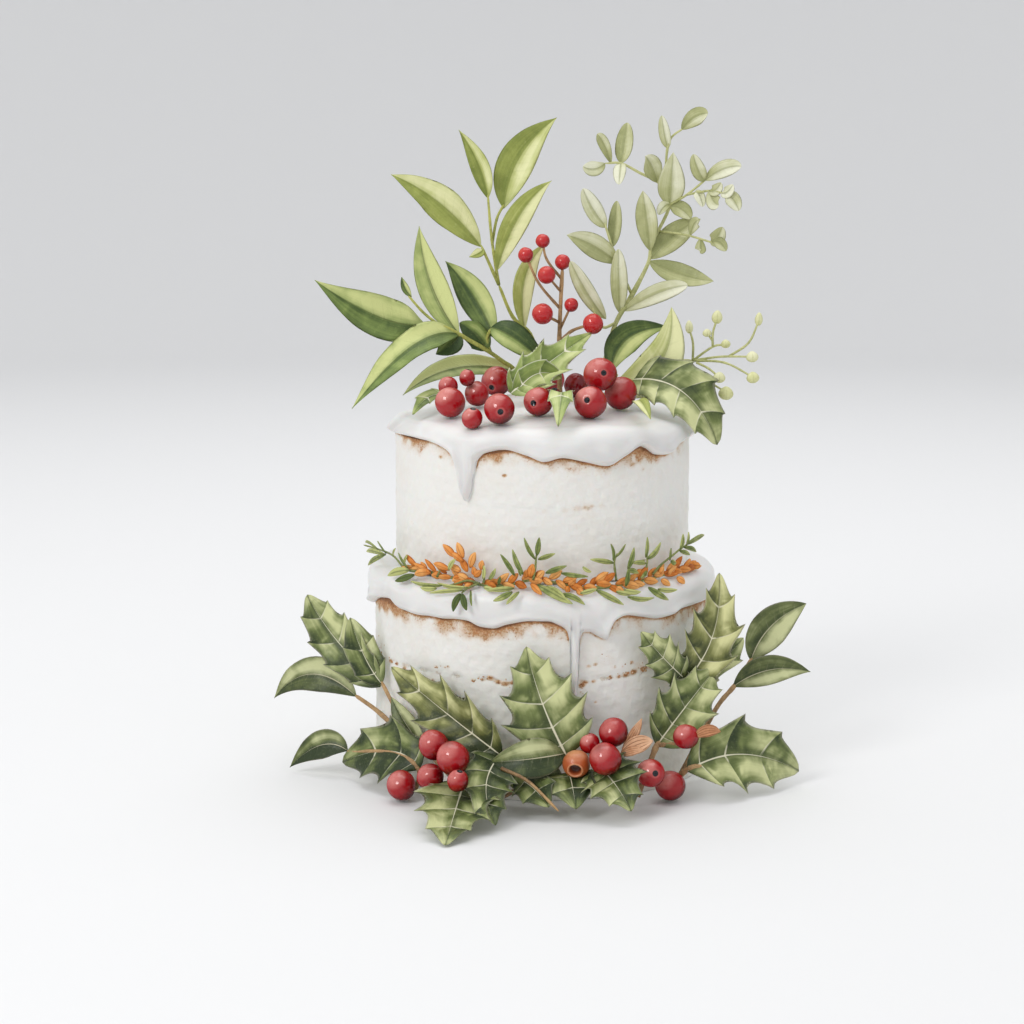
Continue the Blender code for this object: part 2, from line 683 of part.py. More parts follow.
def bud_sprig(sockets):
    """Fine twigs with small round buds at the right."""
    s = Sprig("bud_sprig", "pale_leaf")
    s.planted_stem(37, 6, ((47, 201, -4), (60, 204.5, -3), (76, 205, -2)), sockets, 1.1, 0.8)
    twigs = (
        ((76, 205, -2), (90, 207, 2), (105, 207, 6)), ((60, 204.5, -3), (76, 199, 6), (93, 189, 14)),
        ((76, 205, -2), (76, 214, -6), (74, 221, -8)), ((76, 205, -2), (86, 212, -4), (92, 213, -4)),
        ((86, 212, -4), (86, 219, -5), (88, 226, -6)), ((76, 205, -2), (92, 204, 8), (106, 197, 12)),
        ((78, 204, 0), (84, 201, 6), (89, 197, 8)), ((94, 207, 3), (104, 214, 2), (109, 225, 0)),
    )
    for twig in twigs:
        s.stem(twig, 0.65, 0.5, 1)
    buds = (
        ((74, 222, -8), 2.1, 1.9), ((88, 227, -6), 2.9, 1.4), ((92.5, 213.5, -4), 2.6, 1.0),
        ((109, 226, 0), 2.1, 1.9), ((106, 207, 6), 3.3, 1.0), ((89.5, 196.5, 8), 3.3, 1.0),
        ((106.5, 196.5, 12), 3.4, 1.0), ((93, 188.5, 14), 4.0, 1.0), ((83, 219, -5), 2.4, 1.0),
    )
    s.stem(((86, 215, -5), (83, 219, -5)), 0.6, 0.5, 1)
    for place, radius, high in buds:
        s.ball(place, radius, high)
    s.finish("MANIFOLD")


def top_holly():
    """Holly leaves that lie among the berries on top."""
    up = (0, -0.8, 0.6)
    s = Sprig("centre_holly", "holly")
    s.leaf((-15, 187, 28), (1, 200, 20), (24, 215, 6), 19, HOLLY, (-0.1, -1, 0.5), wave=0.5)
    s.finish()
    s = Sprig("small_holly_leaf", "holly")
    s.leaf((9, 181.5, 36), (9.5, 188, 62), (8, 171, 82), 9, SMALL_HOLLY, up)
    s.finish()
    s = Sprig("left_holly_tip", "holly")
    s.leaf((-47, 186, 10), (-57, 186.5, 26), (-66, 177, 44), 9, SMALL_HOLLY, up)
    s.finish()
    s = Sprig("right_holly", "holly")
    s.stem(((42, 184, 2), (47, 196, 8)), 1.0, 0.9, 1)
    s.leaf((47, 195, 8), (72, 189, 28), (89, 163, 28), 27, HOLLY, (0.35, -1, 0.55), wave=0.6)
    s.finish()
    s = Sprig("right_leaf_tip", "leaf")
    s.leaf((47, 183, 34), (50, 184, 48), (55, 175, 62), 7, SMALL, up)
    s.finish()


def curled_leaves():
    """Two leaves at the right that curl up and over."""
    s = Sprig("curled_leaves", "spring_leaf")
    s.stem(((31, 186, 0), (38, 198, 4)), 1.0, 0.9, 1)
    s.leaf((37, 196, 3), (60, 205, 2), (65.5, 232, 4), 13, LONG, (-0.3, -1, 0.3), 0.35)
    s.leaf((37, 196, 3), (43, 215, -6), (63, 224, -6), 13, LONG, (-0.1, -1, 0.3), 0.3)
    s.finish()


# Greens at the foot


def stalked(number):
    """Seen place and radius of a numbered berry at the foot."""
    across, up, toward, radius, _ = BASE_BERRIES[number - 1]
    return (across, up, toward), radius


def base_left():
    """Branch, low leaves and berries' holly at the left of the foot."""
    s = Sprig("base_left_branch", "holly")
    s.stem(((-38, -23, 95), (-50, -9, 84), (-62, 4, 71), (-75, 13, 57), (-86, 23, 42),
            (-97, 31, 32)), 1.6, 1.0, 1)
    s.stem(((-66, 7, 67), (-76, 24, 54), (-83, 38, 44)), 1.1, 0.9)
    s.leaf((-83, 36, 44), (-106, 60, 30), (-121, 84, 20), 22, HOLLY, (-0.2, -1, 0.3), wave=0.7)
    s.leaf((-83, 37, 44), (-92, 52, 38), (-99, 70, 30), 17, SMALL_HOLLY, (0.1, -1, 0.2))
    s.leaf((-96, 30, 33), (-119, 42, 24), (-139, 29, 18), 18, LONG, (-0.2, -1, 0.4), wave=0.6)
    s.leaf((-61, 3, 71), (-70, 15, 64), (-78, 30, 56), 12, BROAD, (-0.3, -1, 0.1))
    for number in (1, 2, 3):
        s.stalk((-50, -9, 84), *stalked(number))
    s.finish()
    s = Sprig("base_left_low", "holly")
    s.stem(((-66, -20, 78), (-64, -9, 80), (-76, 0, 70), (-101, 1, 48)), 1.3, 1.0, 1)
    s.leaf((-64, -9, 80), (-79, 1, 68), (-104, -5, 46), 27, HOLLY, (-0.3, -1, 0.5), wave=0.6)
    s.leaf((-101, 1, 48), (-115, 4, 43), (-131.5, -8, 38), 15, LONG, (-0.2, -1, 0.5))
    s.finish()


def base_front():
    """Holly branch along the front of the foot, with a darker one under it."""
    s = Sprig("base_front_branch", "holly")
    s.stem(((-45, -20, 100), (-38, -8, 97), (-25, -2, 96.5), (-8, -2.5, 96.5), (13, 0, 97),
            (30, 2, 95)), 1.2, 1.0)
    s.leaf((-21, -1, 97), (-50, 22, 84), (-78, 46, 58), 25, HOLLY, (-0.35, -1, 0.2), wave=0.5)
    s.leaf((-45, -20, 100), (-47, -33, 130), (-50.5, -50, 160), 31, HOLLY, (0, -0.4, 1))
    s.leaf((-22, -2, 97), (-29, -18, 116), (-25, -38, 141), 22, HOLLY, (0.2, -0.6, 0.9), wave=0.8)
    s.leaf((12, 0, 97), (-2, 30, 95), (-8, 56, 92), 33, HOLLY, (0, -1, 0.1), 0.14, 0.4)
    s.leaf((12, 0, 97), (-4, 10, 103), (-19, 9, 102), 24, BROAD, (0, -1, 0.2))
    s.leaf((12, 0, 97), (-6, -6, 103), (-27, -7, 100), 13, LONG, (0, -1, 0.3))
    s.stalk((-38, -8, 97), *stalked(4))
    for number in (6, 7, 8):
        s.stalk((30, 2, 95), *stalked(number))
    s.stalk((13, 0, 97), ROSE_HIP[:3], ROSE_HIP[3])
    s.finish()
    s = Sprig("base_front_low", "holly")
    s.stem(((-20, -23, 93), (-8, -18, 98), (14, -15, 100), (32, -12, 103)), 1.2, 1.0, 1)
    s.leaf((-8, -18, 98), (-1, -21, 108), (6, -27, 120), 15, SMALL_HOLLY, (0, -1, 0.6))
    s.leaf((14, -15, 100), (15, -19, 110), (17, -27, 121), 20, SMALL_HOLLY, (0, -1, 0.6))
    s.leaf((32, -12, 103), (39, -17, 114), (47, -29, 127), 25, HOLLY, (0.1, -1, 0.7), wave=0.5)
    s.finish()
    s = Sprig("dried_petals", "dried")
    s.stem(((39, -14, 97), (41, 0, 101)), 1.0, 1.2, 1)
    s.leaf((41, -1, 101), (47, 9, 99), (52, 19, 97), 5.5, SMALL, (0.3, -1, 0.1))
    s.leaf((41, 0, 101), (50, 5, 102), (58, 7, 100), 8.5, SMALL, (0.1, -1, 0.4))
    s.leaf((41, -1, 101), (47, 1.5, 105), (53, 2, 106), 5, SMALL, (0.1, -1, 0.6))
    s.finish(keep=1.0)


def base_right():
    """Tall holly, smooth leaves and low holly at the right of the foot."""
    s = Sprig("base_right_tall", "holly")
    s.stem(((50, -23, 92), (56, -6, 89), (60, 5, 84), (68, 24, 72), (74, 40, 65)), 1.5, 1.0)
    s.stem(((60, 5, 84), (72, 5, 81), (86, 3, 76)), 1.3, 1.1, 1)
    s.leaf((73, 38, 66), (88, 63, 60), (91, 96, 44), 28, HOLLY, (0.3, -1, 0.1), 0.15, 0.5)
    s.leaf((74, 40, 65), (62, 52, 77), (51, 65, 81), 20, HOLLY, (0.5, -1, 0.1), 0.1)
    s.leaf((60, 5, 84), (75, 26, 75), (90, 46, 62), 30, HOLLY, (0.3, -1, 0.3), 0.15, 0.5)
    s.leaf((74, 40, 65), (92, 50, 56), (104, 62, 44), 15, SMALL_HOLLY, (0.2, -1, 0.3))
    s.stalk((72, 5, 81), *stalked(9))
    s.stalk((56, -6, 89), *stalked(10))
    s.finish()
    s = Sprig("base_right_smooth", "holly")
    s.stem(((72, -12, 59), (84, 12, 52), (92, 27, 44), (100, 37, 37), (109, 52, 30)), 1.4, 0.9)
    s.leaf((108, 50, 31), (118, 68, 24), (136, 80, 16), 19, BROAD, (0.1, -1, 0.2))
    s.leaf((99, 36, 38), (118, 45, 34), (139, 44, 28), 13, LONG, (0.1, -1, 0.4))
    s.finish()
    s = Sprig("base_right_low", "holly")
    s.stem(((67, -18.5, 71), (76, -8, 84), (85, -6, 83)), 1.4, 1.1)
    s.leaf((76, -9, 85), (104, 0, 76), (134, -9, 56), 30, HOLLY, (0.25, -1, 0.4), 0.15, 0.6)
    s.finish()


def back_sprig(name, angle, mirror):
    """Holly sprig that leans on the cake behind, its leaves fanned either way."""
    s = Sprig(name, "holly")
    wall = LOWER_RADIUS + 4
    root = round_at(angle, wall + 8, 6)
    crown = round_at(angle, wall + 4, 24)
    s.pieces.append(tube("stem", [root, crown], 1.4, 1.1, TWIG_SIDES, 2))
    fans = ((-38, 30, 27), (-8, 68, 24), (36, 36, 28))
    for across, up, width in fans:
        turn = angle + mirror * across / wall
        middle = angle + mirror * 0.5 * across / wall
        out = 5 + 0.12 * abs(across)
        places = (crown, round_at(middle, wall + out + 3, 0.5 * (24 + up) + 3),
                  round_at(turn, wall + out, up))
        facing = round_at(middle, 1.0, 0.35)
        s.pieces.append(leaf(*places, width, PLAIN_HOLLY, facing, 0.12, 0.4))
    s.finish()


# Garland


def spindle(foot, along, length, width, flat):
    """Four-sided piece pointed at both ends, `flat` times as thick as it is wide."""
    side = along.cross(Vector((0.1, 0.2, 1))).normalized() * (0.5 * width)
    other = along.cross(side).normalized() * (0.5 * width * flat)
    centre = foot + along * (0.45 * length)
    ring = [centre + side, centre + other, centre - side, centre - other]
    return turned("spindle", [ring], (foot, foot + along * length))


def bud_garland(name, first, last, rng):
    """Chain of overlapping orange buds between two bearings, some standing up."""
    pieces = []
    count = int((last - first) * GARLAND_RADIUS / BUD_SPACING)
    height = LOWER_ICING_TOP + GAP + 2.6
    for k in range(count + 1):
        angle = first + (last - first) * k / count
        sway = (0.3 if k % 2 else -0.3) + rng.uniform(-0.15, 0.15)
        ahead = Vector((math.cos(angle), math.sin(angle), 0.0))
        outward = round_at(angle, 1.0, 0.0)
        along = (ahead + outward * 0.35 * sway + Vector((0, 0, 0.2 * abs(sway)))).normalized()
        centre = round_at(angle, GARLAND_RADIUS, height)
        pieces.append(spindle(centre - along * 0.5 * BUD_LENGTH, along, BUD_LENGTH, BUD_WIDTH, 0.85))
        if k % 3 == 1:
            lean = (ahead * rng.uniform(-0.7, 0.7) + Vector((0, 0, 1))).normalized()
            foot = round_at(angle, GARLAND_RADIUS + 0.6, height)
            tall = rng.uniform(0.8, 1.15) * BUD_LENGTH
            pieces.append(spindle(foot, lean, tall, 0.9 * BUD_WIDTH, 0.8))
    whole = pieces[0]
    whole.name = name
    combine(whole, pieces[1:], "UNION", keep=GARLAND_KEEP)
    dress(whole, "bud")


def rosemary(name, first, last, rng):
    """Sprig laid round the rim outside the buds, with needles up, out and down."""
    height = LOWER_ICING_TOP + 1.2
    out = GARLAND_RADIUS + 6.4
    spans = 7
    bearings = [first + (last - first) * k / spans for k in range(spans + 1)]
    path = [round_at(a, out, height) for a in bearings]
    pieces = [tube("stem", path, 1.0, 0.7, TWIG_SIDES, 1)]
    count = 13
    for k in range(count):
        angle = first + (last - first) * (k + 0.4) / count
        ahead = Vector((math.cos(angle), math.sin(angle), 0.0))
        outward = round_at(angle, 1.0, 0.0)
        slant = rng.uniform(0.35, 0.8)
        rise = Vector((0, 0, 1)) if k % 2 else outward * 0.75 - Vector((0, 0, 0.35))
        along = (ahead * slant + rise + outward * 0.12).normalized()
        foot = round_at(angle, out, height)
        length = NEEDLE_LENGTH * rng.uniform(0.75, 1.1)
        pieces.append(spindle(foot, along, length, NEEDLE_WIDTH, 0.5))
    whole = pieces[0]
    whole.name = name
    combine(whole, pieces[1:], "UNION", keep=GARLAND_KEEP)
    dress(whole, "rosemary")


def garland():
    """Orange buds and rosemary all round the foot of the upper tier."""
    rng = random.Random(7)
    edge = 0.55 * BUD_LENGTH / GARLAND_RADIUS
    bud_garland("bud_garland_front", -0.5 * math.pi + edge, 0.5 * math.pi - edge, rng)
    bud_garland("bud_garland_back", 0.5 * math.pi + edge, 1.5 * math.pi - edge, rng)
    for number in range(4):
        start = math.radians(-88 + 90 * number)
        rosemary(f"rosemary_{number + 1}", start, start + math.radians(82), rng)


def build():
    """Make every piece of the cake."""
    clear_scene()
    sockets = []
    cake_layers()
    lower_icing()
    top_berries()
    base_berries()
    long_leaf_branch(sockets)
    centre_spray(sockets)
    berry_sprig(sockets)
    pale_spray(sockets)
    bud_sprig(sockets)
    top_holly()
    curled_leaves()
    upper_icing(sockets)
    base_left()
    base_front()
    base_right()
    back_sprig("back_left_sprig", math.radians(212), 1)
    back_sprig("back_right_sprig", math.radians(142), -1)
    garland()


build()
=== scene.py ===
"""Looks of a two-tier berry cake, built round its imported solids.

Lengths are millimetres until a mesh is written in metres. +Z is up and the front is -Y. Plants are
placed as they look from the eye: so far across, so far up, and so far nearer than the cake's axis.
Every shape is a row of rings closed by a point at each end, worked out as whole arrays.
"""

from __future__ import annotations

import logging
import math
import random
from dataclasses import dataclass, field
from enum import Enum
from typing import Any, Callable, Mapping, Sequence

import bpy
import numpy as np
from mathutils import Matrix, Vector


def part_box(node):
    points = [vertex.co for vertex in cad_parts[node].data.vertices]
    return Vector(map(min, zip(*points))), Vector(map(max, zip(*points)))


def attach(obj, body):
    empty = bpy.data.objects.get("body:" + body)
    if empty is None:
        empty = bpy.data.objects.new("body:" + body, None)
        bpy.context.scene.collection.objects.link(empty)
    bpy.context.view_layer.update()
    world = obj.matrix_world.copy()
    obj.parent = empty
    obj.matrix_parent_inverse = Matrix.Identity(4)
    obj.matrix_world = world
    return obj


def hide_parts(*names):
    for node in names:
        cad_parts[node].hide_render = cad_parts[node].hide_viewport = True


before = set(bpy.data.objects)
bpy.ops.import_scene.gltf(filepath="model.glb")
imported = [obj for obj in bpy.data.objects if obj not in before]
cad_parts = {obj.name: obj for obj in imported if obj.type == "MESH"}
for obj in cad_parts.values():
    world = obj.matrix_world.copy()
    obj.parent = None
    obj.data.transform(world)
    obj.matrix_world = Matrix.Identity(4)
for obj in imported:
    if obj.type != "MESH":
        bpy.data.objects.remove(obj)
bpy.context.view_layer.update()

log = logging.getLogger("berry_cake")

Array = np.ndarray
Colour = tuple[float, float, float]
Triple = tuple[float, float, float]

MM = 0.001
TAU = math.tau
BODY = "root"

# Sizes shared by several classes
EYE_BACK = 1100.0
EYE_UP = 300.0
UPPER_RADIUS = 75.0
LOWER_RADIUS = 86.0
LOWER_JOINT = 59.0
LOWER_TOP = 98.0
LOWER_ICING_TOP = 104.0
UPPER_JOINT = 141.0
UPPER_TOP = 170.0
UPPER_ICING_TOP = 179.0
DOME_RISE = 7.5
DOME_RADIUS = 68.0
GAP = 0.3
FORWARD = (0.0, -1.0, 0.3)


# Arrays


def unit(vectors: Array) -> Array:
    """Vectors scaled to length one along the last axis."""
    return vectors / np.maximum(np.linalg.norm(vectors, axis=-1, keepdims=True), 1e-9)


def smoothstep(low: float, high: float, value: Array) -> Array:
    """0 up to `low`, 1 from `high`, and 3x^2 - 2x^3 between."""
    x = np.clip((value - low) / (high - low), 0.0, 1.0)
    return x * x * (3 - 2 * x)


def hump(value: Array, middle: float | Array, width: float | Array, power: float = 2.0) -> Array:
    """exp(-|(value - middle) / width|^power), which is 1 at the middle."""
    return np.exp(-np.abs((value - middle) / width) ** power)


def stacked(*parts: Array | float) -> Array:
    """Values spread to one shape and set side by side along a new last axis."""
    return np.stack(np.broadcast_arrays(*parts), -1)


def full_turn(steps: int) -> Array:
    """Angles evenly spaced round a full turn."""
    return TAU * np.arange(steps) / steps


def wrapped(angle: Array) -> Array:
    """Angle brought to between -pi and pi."""
    return (angle + math.pi) % TAU - math.pi


def point(x: float, y: float, z: float) -> Array:
    """One point as an array of floats."""
    return np.array([x, y, z], float)


def seen(points: Sequence[Triple] | Array) -> Array:
    """Places of points given as they look from the eye.

    A point `toward` nearer than the axis is shrunk towards the eye's height and the middle by the
    share toward / EYE_BACK.

    Args:
        points: Rows of across, up and toward.

    Returns:
        Rows of x, y and z.
    """
    across, up, toward = np.asarray(points, float).reshape(-1, 3).T
    share = toward / EYE_BACK
    return np.stack([across * (1 - share), -toward, up + (EYE_UP - up) * share], -1)


def wall_mark(across: float, up: float, radius: float) -> tuple[float, float]:
    """Place on a wall of a point that looks to be at (across, up).

    Its x and its depth, which set each other, are found by turns.

    Args:
        across: How far across it looks from the eye.
        up: How far up it looks.
        radius: The wall's radius.

    Returns:
        Angle from the front in radians, and height.
    """
    x = min(across, radius)
    for _ in range(4):
        depth = math.sqrt(max(radius * radius - x * x, 0.0))
        x = max(-radius, min(radius, across * (1 - depth / EYE_BACK)))
    angle = math.asin(x / radius)
    return angle, up + (EYE_UP - up) * radius * math.cos(angle) / EYE_BACK


def round_at(angle: Array | float, radius: Array | float, height: Array | float) -> Array:
    """Points at an angle from the front, a radius and a height."""
    return stacked(radius * np.sin(angle), -radius * np.cos(angle), height)


def icing_height(x: float, y: float) -> float:
    """Height of the upper icing's top: a shallow dome that falls away at its rim.

    Args:
        x: Across.
        y: Back.

    Returns:
        The height.
    """
    radius = math.hypot(x, y)
    dome = DOME_RISE * max(0.0, 1 - (radius / DOME_RADIUS) ** 2)
    return UPPER_ICING_TOP + dome - 0.05 * max(0.0, radius - UPPER_RADIUS + 8) ** 2


@dataclass(frozen=True)
class Ripple:
    """Smooth random field: the mean of seeded plane waves.

    Args:
        seed: Seed of their ways and phases.
        size: About how long they are.
        waves: How many there are.
    """

    seed: int
    size: float
    waves: int = 20

    def __call__(self, points: Array) -> Array:
        """Value of the field.

        Sum of sin(k.p + phase) over the waves, scaled to a spread of about one.

        Args:
            points: Places, along the last axis.

        Returns:
            One value for each place.
        """
        rng = np.random.default_rng(self.seed)
        ways = unit(rng.normal(size=(self.waves, 3)))
        ways = ways * (TAU / self.size) * rng.uniform(0.6, 1.7, (self.waves, 1))
        phase = rng.uniform(0, TAU, self.waves)
        return np.sin(points @ ways.T + phase).sum(-1) * math.sqrt(2 / self.waves)


# Meshes


@dataclass
class Shell:
    """Rings of points closed by a point at each end.

    Args:
        rings: Points, shaped (rows, steps, 3), with each row a closed loop.
        first: Point that closes the first ring.
        last: Point that closes the last ring.
        fields: Values for the material at each ring point, shaped as the rings.
    """

    rings: Array
    first: Array
    last: Array
    fields: dict[str, Array] = field(default_factory=dict)

    def points(self) -> Array:
        """All points: the first, the rings row by row, and the last."""
        return np.concatenate([self.first[None], self.rings.reshape(-1, 3), self.last[None]])

    def values(self, name: str) -> Array:
        """Values of one field at every point, where each end takes the mean of its ring.

        Args:
            name: The field.

        Returns:
            Rows of three values.
        """
        rows = self.fields.get(name, np.zeros_like(self.rings))
        ends = rows[[0, -1]].mean(1)
        return np.concatenate([ends[:1], rows.reshape(-1, 3), ends[1:]])

    def faces(self) -> tuple[Array, Array]:
        """Quads between the rings and triangles at the ends, all facing out.

        Returns:
            Vertex numbers of the quads (n, 4) and of the triangles (m, 3).
        """
        rows, steps = self.rings.shape[:2]
        grid = 1 + np.arange(rows * steps).reshape(rows, steps)
        beside = np.roll(grid, -1, axis=1)
        quads = np.stack([grid[:-1], beside[:-1], beside[1:], grid[1:]], -1).reshape(-1, 4)
        triangles = np.concatenate([stacked(0, beside[0], grid[0]),
                                    stacked(rows * steps + 1, grid[-1], beside[-1])])
        points = self.points() - self.points().mean(0)
        halves = np.concatenate([triangles, quads[:, :3], quads[:, [0, 2, 3]]])
        a, b, c = points[halves.T]
        if np.einsum("ij,ij->", a, np.cross(b, c)) < 0:
            quads, triangles = quads[:, ::-1], triangles[:, ::-1]
        return quads, triangles


def mesh_of(name: str, shells: Sequence[Shell]) -> bpy.types.Mesh:
    """One mesh in metres from any number of shells.

    Args:
        name: Name of the mesh.
        shells: The shells, which stay separate closed bodies.

    Returns:
        The mesh, shaded smooth, with the shells' fields as attributes.
    """
    points, corners, starts, total, offset = [], [], [], 0, 0
    for shell in shells:
        for faces in shell.faces():
            corners.append((faces + offset).ravel())
            starts.append(total + faces.shape[1] * np.arange(len(faces)))
            total += faces.size
        points.append(shell.points())
        offset += len(points[-1])
    mesh = bpy.data.meshes.new(name)
    for part, key, rows, kind in ((mesh.vertices, "co", points, np.float32),
                                  (mesh.loops, "vertex_index", corners, np.int32),
                                  (mesh.polygons, "loop_start", starts, np.int32)):
        values = np.concatenate(rows)
        part.add(len(values))
        part.foreach_set(key, (values * MM if key == "co" else values).astype(kind).ravel())
    mesh.update(calc_edges=True)
    mesh.shade_smooth()
    for key in sorted({key for shell in shells for key in shell.fields}):
        values = np.concatenate([shell.values(key) for shell in shells]).astype(np.float32)
        mesh.attributes.new(key, "FLOAT_VECTOR", "POINT").data.foreach_set("vector", values.ravel())
    return mesh


def thing_of(name: str, data: bpy.types.ID) -> bpy.types.Object:
    """New object in the scene with this mesh, lamp or lens.

    Args:
        name: Its name.
        data: What it holds.

    Returns:
        The object.
    """
    thing = bpy.data.objects.new(name, data)
    bpy.context.scene.collection.objects.link(thing)
    return thing


def piece(name: str, shells: Sequence[Shell], kind: Finishes, *nodes: str) -> None:
    """Make one piece of the cake, dress it, and let it stand for its solids.

    Args:
        name: Name of the piece.
        shells: What it is made of.
        kind: Its finish.
        nodes: Solids that it stands for.
    """
    finish = kind.value
    thing = thing_of(name, mesh_of(name, shells))
    thing.data.materials.append(finish.material())
    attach(thing, BODY)
    if nodes:
        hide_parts(*nodes)
    log.info("%s: %d faces, %s", name, len(thing.data.polygons), finish.name)


# Shader maths


def by_node(operation: str) -> Callable[[Value, Value | float], Value]:
    """Operator that puts a value and another through one Math node."""
    return lambda left, right: left.math(operation, right)


class Value:
    """A shader socket, on which arithmetic adds Math nodes."""

    def __init__(self, graph: Graph, socket: bpy.types.NodeSocket) -> None:
        """Keep the socket and the graph it belongs to.

        Args:
            graph: The graph.
            socket: The socket.
        """
        self.graph = graph
        self.socket = socket

    def math(self, operation: str, *others: Value | float) -> Value:
        """This value and others through one Math node."""
        values = dict(enumerate((self, *others)))
        return self.graph.node("Math", {"operation": operation}, values)

    __add__ = __radd__ = by_node("ADD")
    __mul__ = __rmul__ = by_node("MULTIPLY")
    __sub__ = by_node("SUBTRACT")
    __truediv__ = by_node("DIVIDE")

    def __rsub__(self, other: float) -> Value:
        """A number less this value."""
        return self.graph.node("Math", {"operation": "SUBTRACT"}, {0: other, 1: self})

    def __abs__(self) -> Value:
        """Size without sign."""
        return self.math("ABSOLUTE")

    def step(self, low: float, high: float) -> Value:
        """Smooth step from 0 at `low` to 1 at `high`."""
        values = {"Value": self, "From Min": low, "From Max": high}
        return self.graph.node("MapRange", {"interpolation_type": "SMOOTHSTEP"}, values, "Result")

    def band(self, rise: float, top: float, fall: float, end: float) -> Value:
        """Smooth step up from `rise` to `top`, and down again from `fall` to `end`."""
        return self.step(rise, top) * (1 - self.step(fall, end))


class Graph:
    """Node tree of one material."""

    def __init__(self, name: str) -> None:
        """Start an empty material.

        Args:
            name: The material's name.
        """
        self.material = bpy.data.materials.new(name)
        self.material.use_nodes = True
        self.tree = self.material.node_tree
        self.tree.nodes.clear()

    def node(self, kind: str, settings: Mapping[str, Any], values: Mapping[int | str, Any],
             out: int | str = 0) -> Value | None:
        """Add one node.

        Args:
            kind: The node's type without its ShaderNode prefix.
            settings: Properties, set first.
            values: Sockets' links or values.
            out: Which output to return.

        Returns:
            The output, or nothing for a node without one.
        """
        made = self.tree.nodes.new("ShaderNode" + kind)
        for key, setting in settings.items():
            setattr(made, key, setting)
        for key, value in values.items():
            if isinstance(value, Value):
                self.tree.links.new(value.socket, made.inputs[key])
            elif isinstance(value, tuple) and made.inputs[key].type == "RGBA":
                made.inputs[key].default_value = (*value, 1.0)
            else:
                made.inputs[key].default_value = value
        return Value(self, made.outputs[out]) if made.outputs else None

    def parts(self, name: str) -> tuple[Value, Value, Value]:
        """The three parts of a field of the mesh.

        Args:
            name: The field.

        Returns:
            Its parts.
        """
        vector = self.node("Attribute", {"attribute_name": name}, {}, "Vector")
        made = self.node("SeparateXYZ", {}, {0: vector}).socket.node
        return tuple(Value(self, made.outputs[k]) for k in range(3))

    def noise(self, size: float, detail: float = 2.0, rough: float = 0.5,
              bend: float = 0.0) -> Value:
        """Noise with features of a size in millimetres.

        Args:
            size: Size of its features.
            detail: Octaves of finer noise.
            rough: Strength of each octave to the one before.
            bend: How far it is warped.

        Returns:
            The noise, from 0 to 1.
        """
        values = {"Vector": self.node("TexCoord", {}, {}, "Object"), "Scale": 1 / (size * MM),
                  "Detail": detail, "Roughness": rough, "Distortion": bend}
        return self.node("TexNoise", {}, values, "Fac")

    def cells(self, size: float, feature: str = "F1") -> Value:
        """Distance inside cells of a size in millimetres."""
        values = {"Vector": self.node("TexCoord", {}, {}, "Object"), "Scale": 1 / (size * MM)}
        return self.node("TexVoronoi", {"feature": feature}, values, "Distance")

    def mix(self, share: Value | float, a: Value | Colour, b: Value | Colour) -> Value:
        """Two colours mixed."""
        return self.node("Mix", {"data_type": "RGBA"}, {0: share, 6: a, 7: b}, 2)

    def surface(self, colour: Value | Colour, rough: Value | float, relief: Value | None = None,
                depth: float = 0.0, **uniform: float) -> bpy.types.Material:
        """Close the tree with its shader.

        Args:
            colour: Its colour.
            rough: Its roughness.
            relief: Height of its relief, or none.
            depth: How many millimetres deep the relief is.
            uniform: Plain values for other sockets, with _ for a space in their names.

        Returns:
            The finished material.
        """
        values = {"Base Color": colour, "Roughness": rough}
        values.update({name.replace("_", " "): value for name, value in uniform.items()})
        if relief is not None:
            heights = {"Height": relief, "Distance": depth * MM, "Strength": 1.0}
            values["Normal"] = self.node("Bump", {}, heights, "Normal")
        self.node("OutputMaterial", {}, {"Surface": self.node("BsdfPrincipled", {}, values)})
        return self.material


# Finishes


@dataclass(frozen=True)
class Finish:
    """A named finish and the record's material slot it belongs to.

    Args:
        name: Its name.
        slot: The slot, which is not used here.
    """

    name: str
    slot: str

    def material(self) -> bpy.types.Material:
        """The finish's material, made on first use."""
        return bpy.data.materials.get(self.name) or self.paint(Graph(self.name))

    def paint(self, graph: Graph) -> bpy.types.Material:
        """Fill an empty graph."""
        raise NotImplementedError


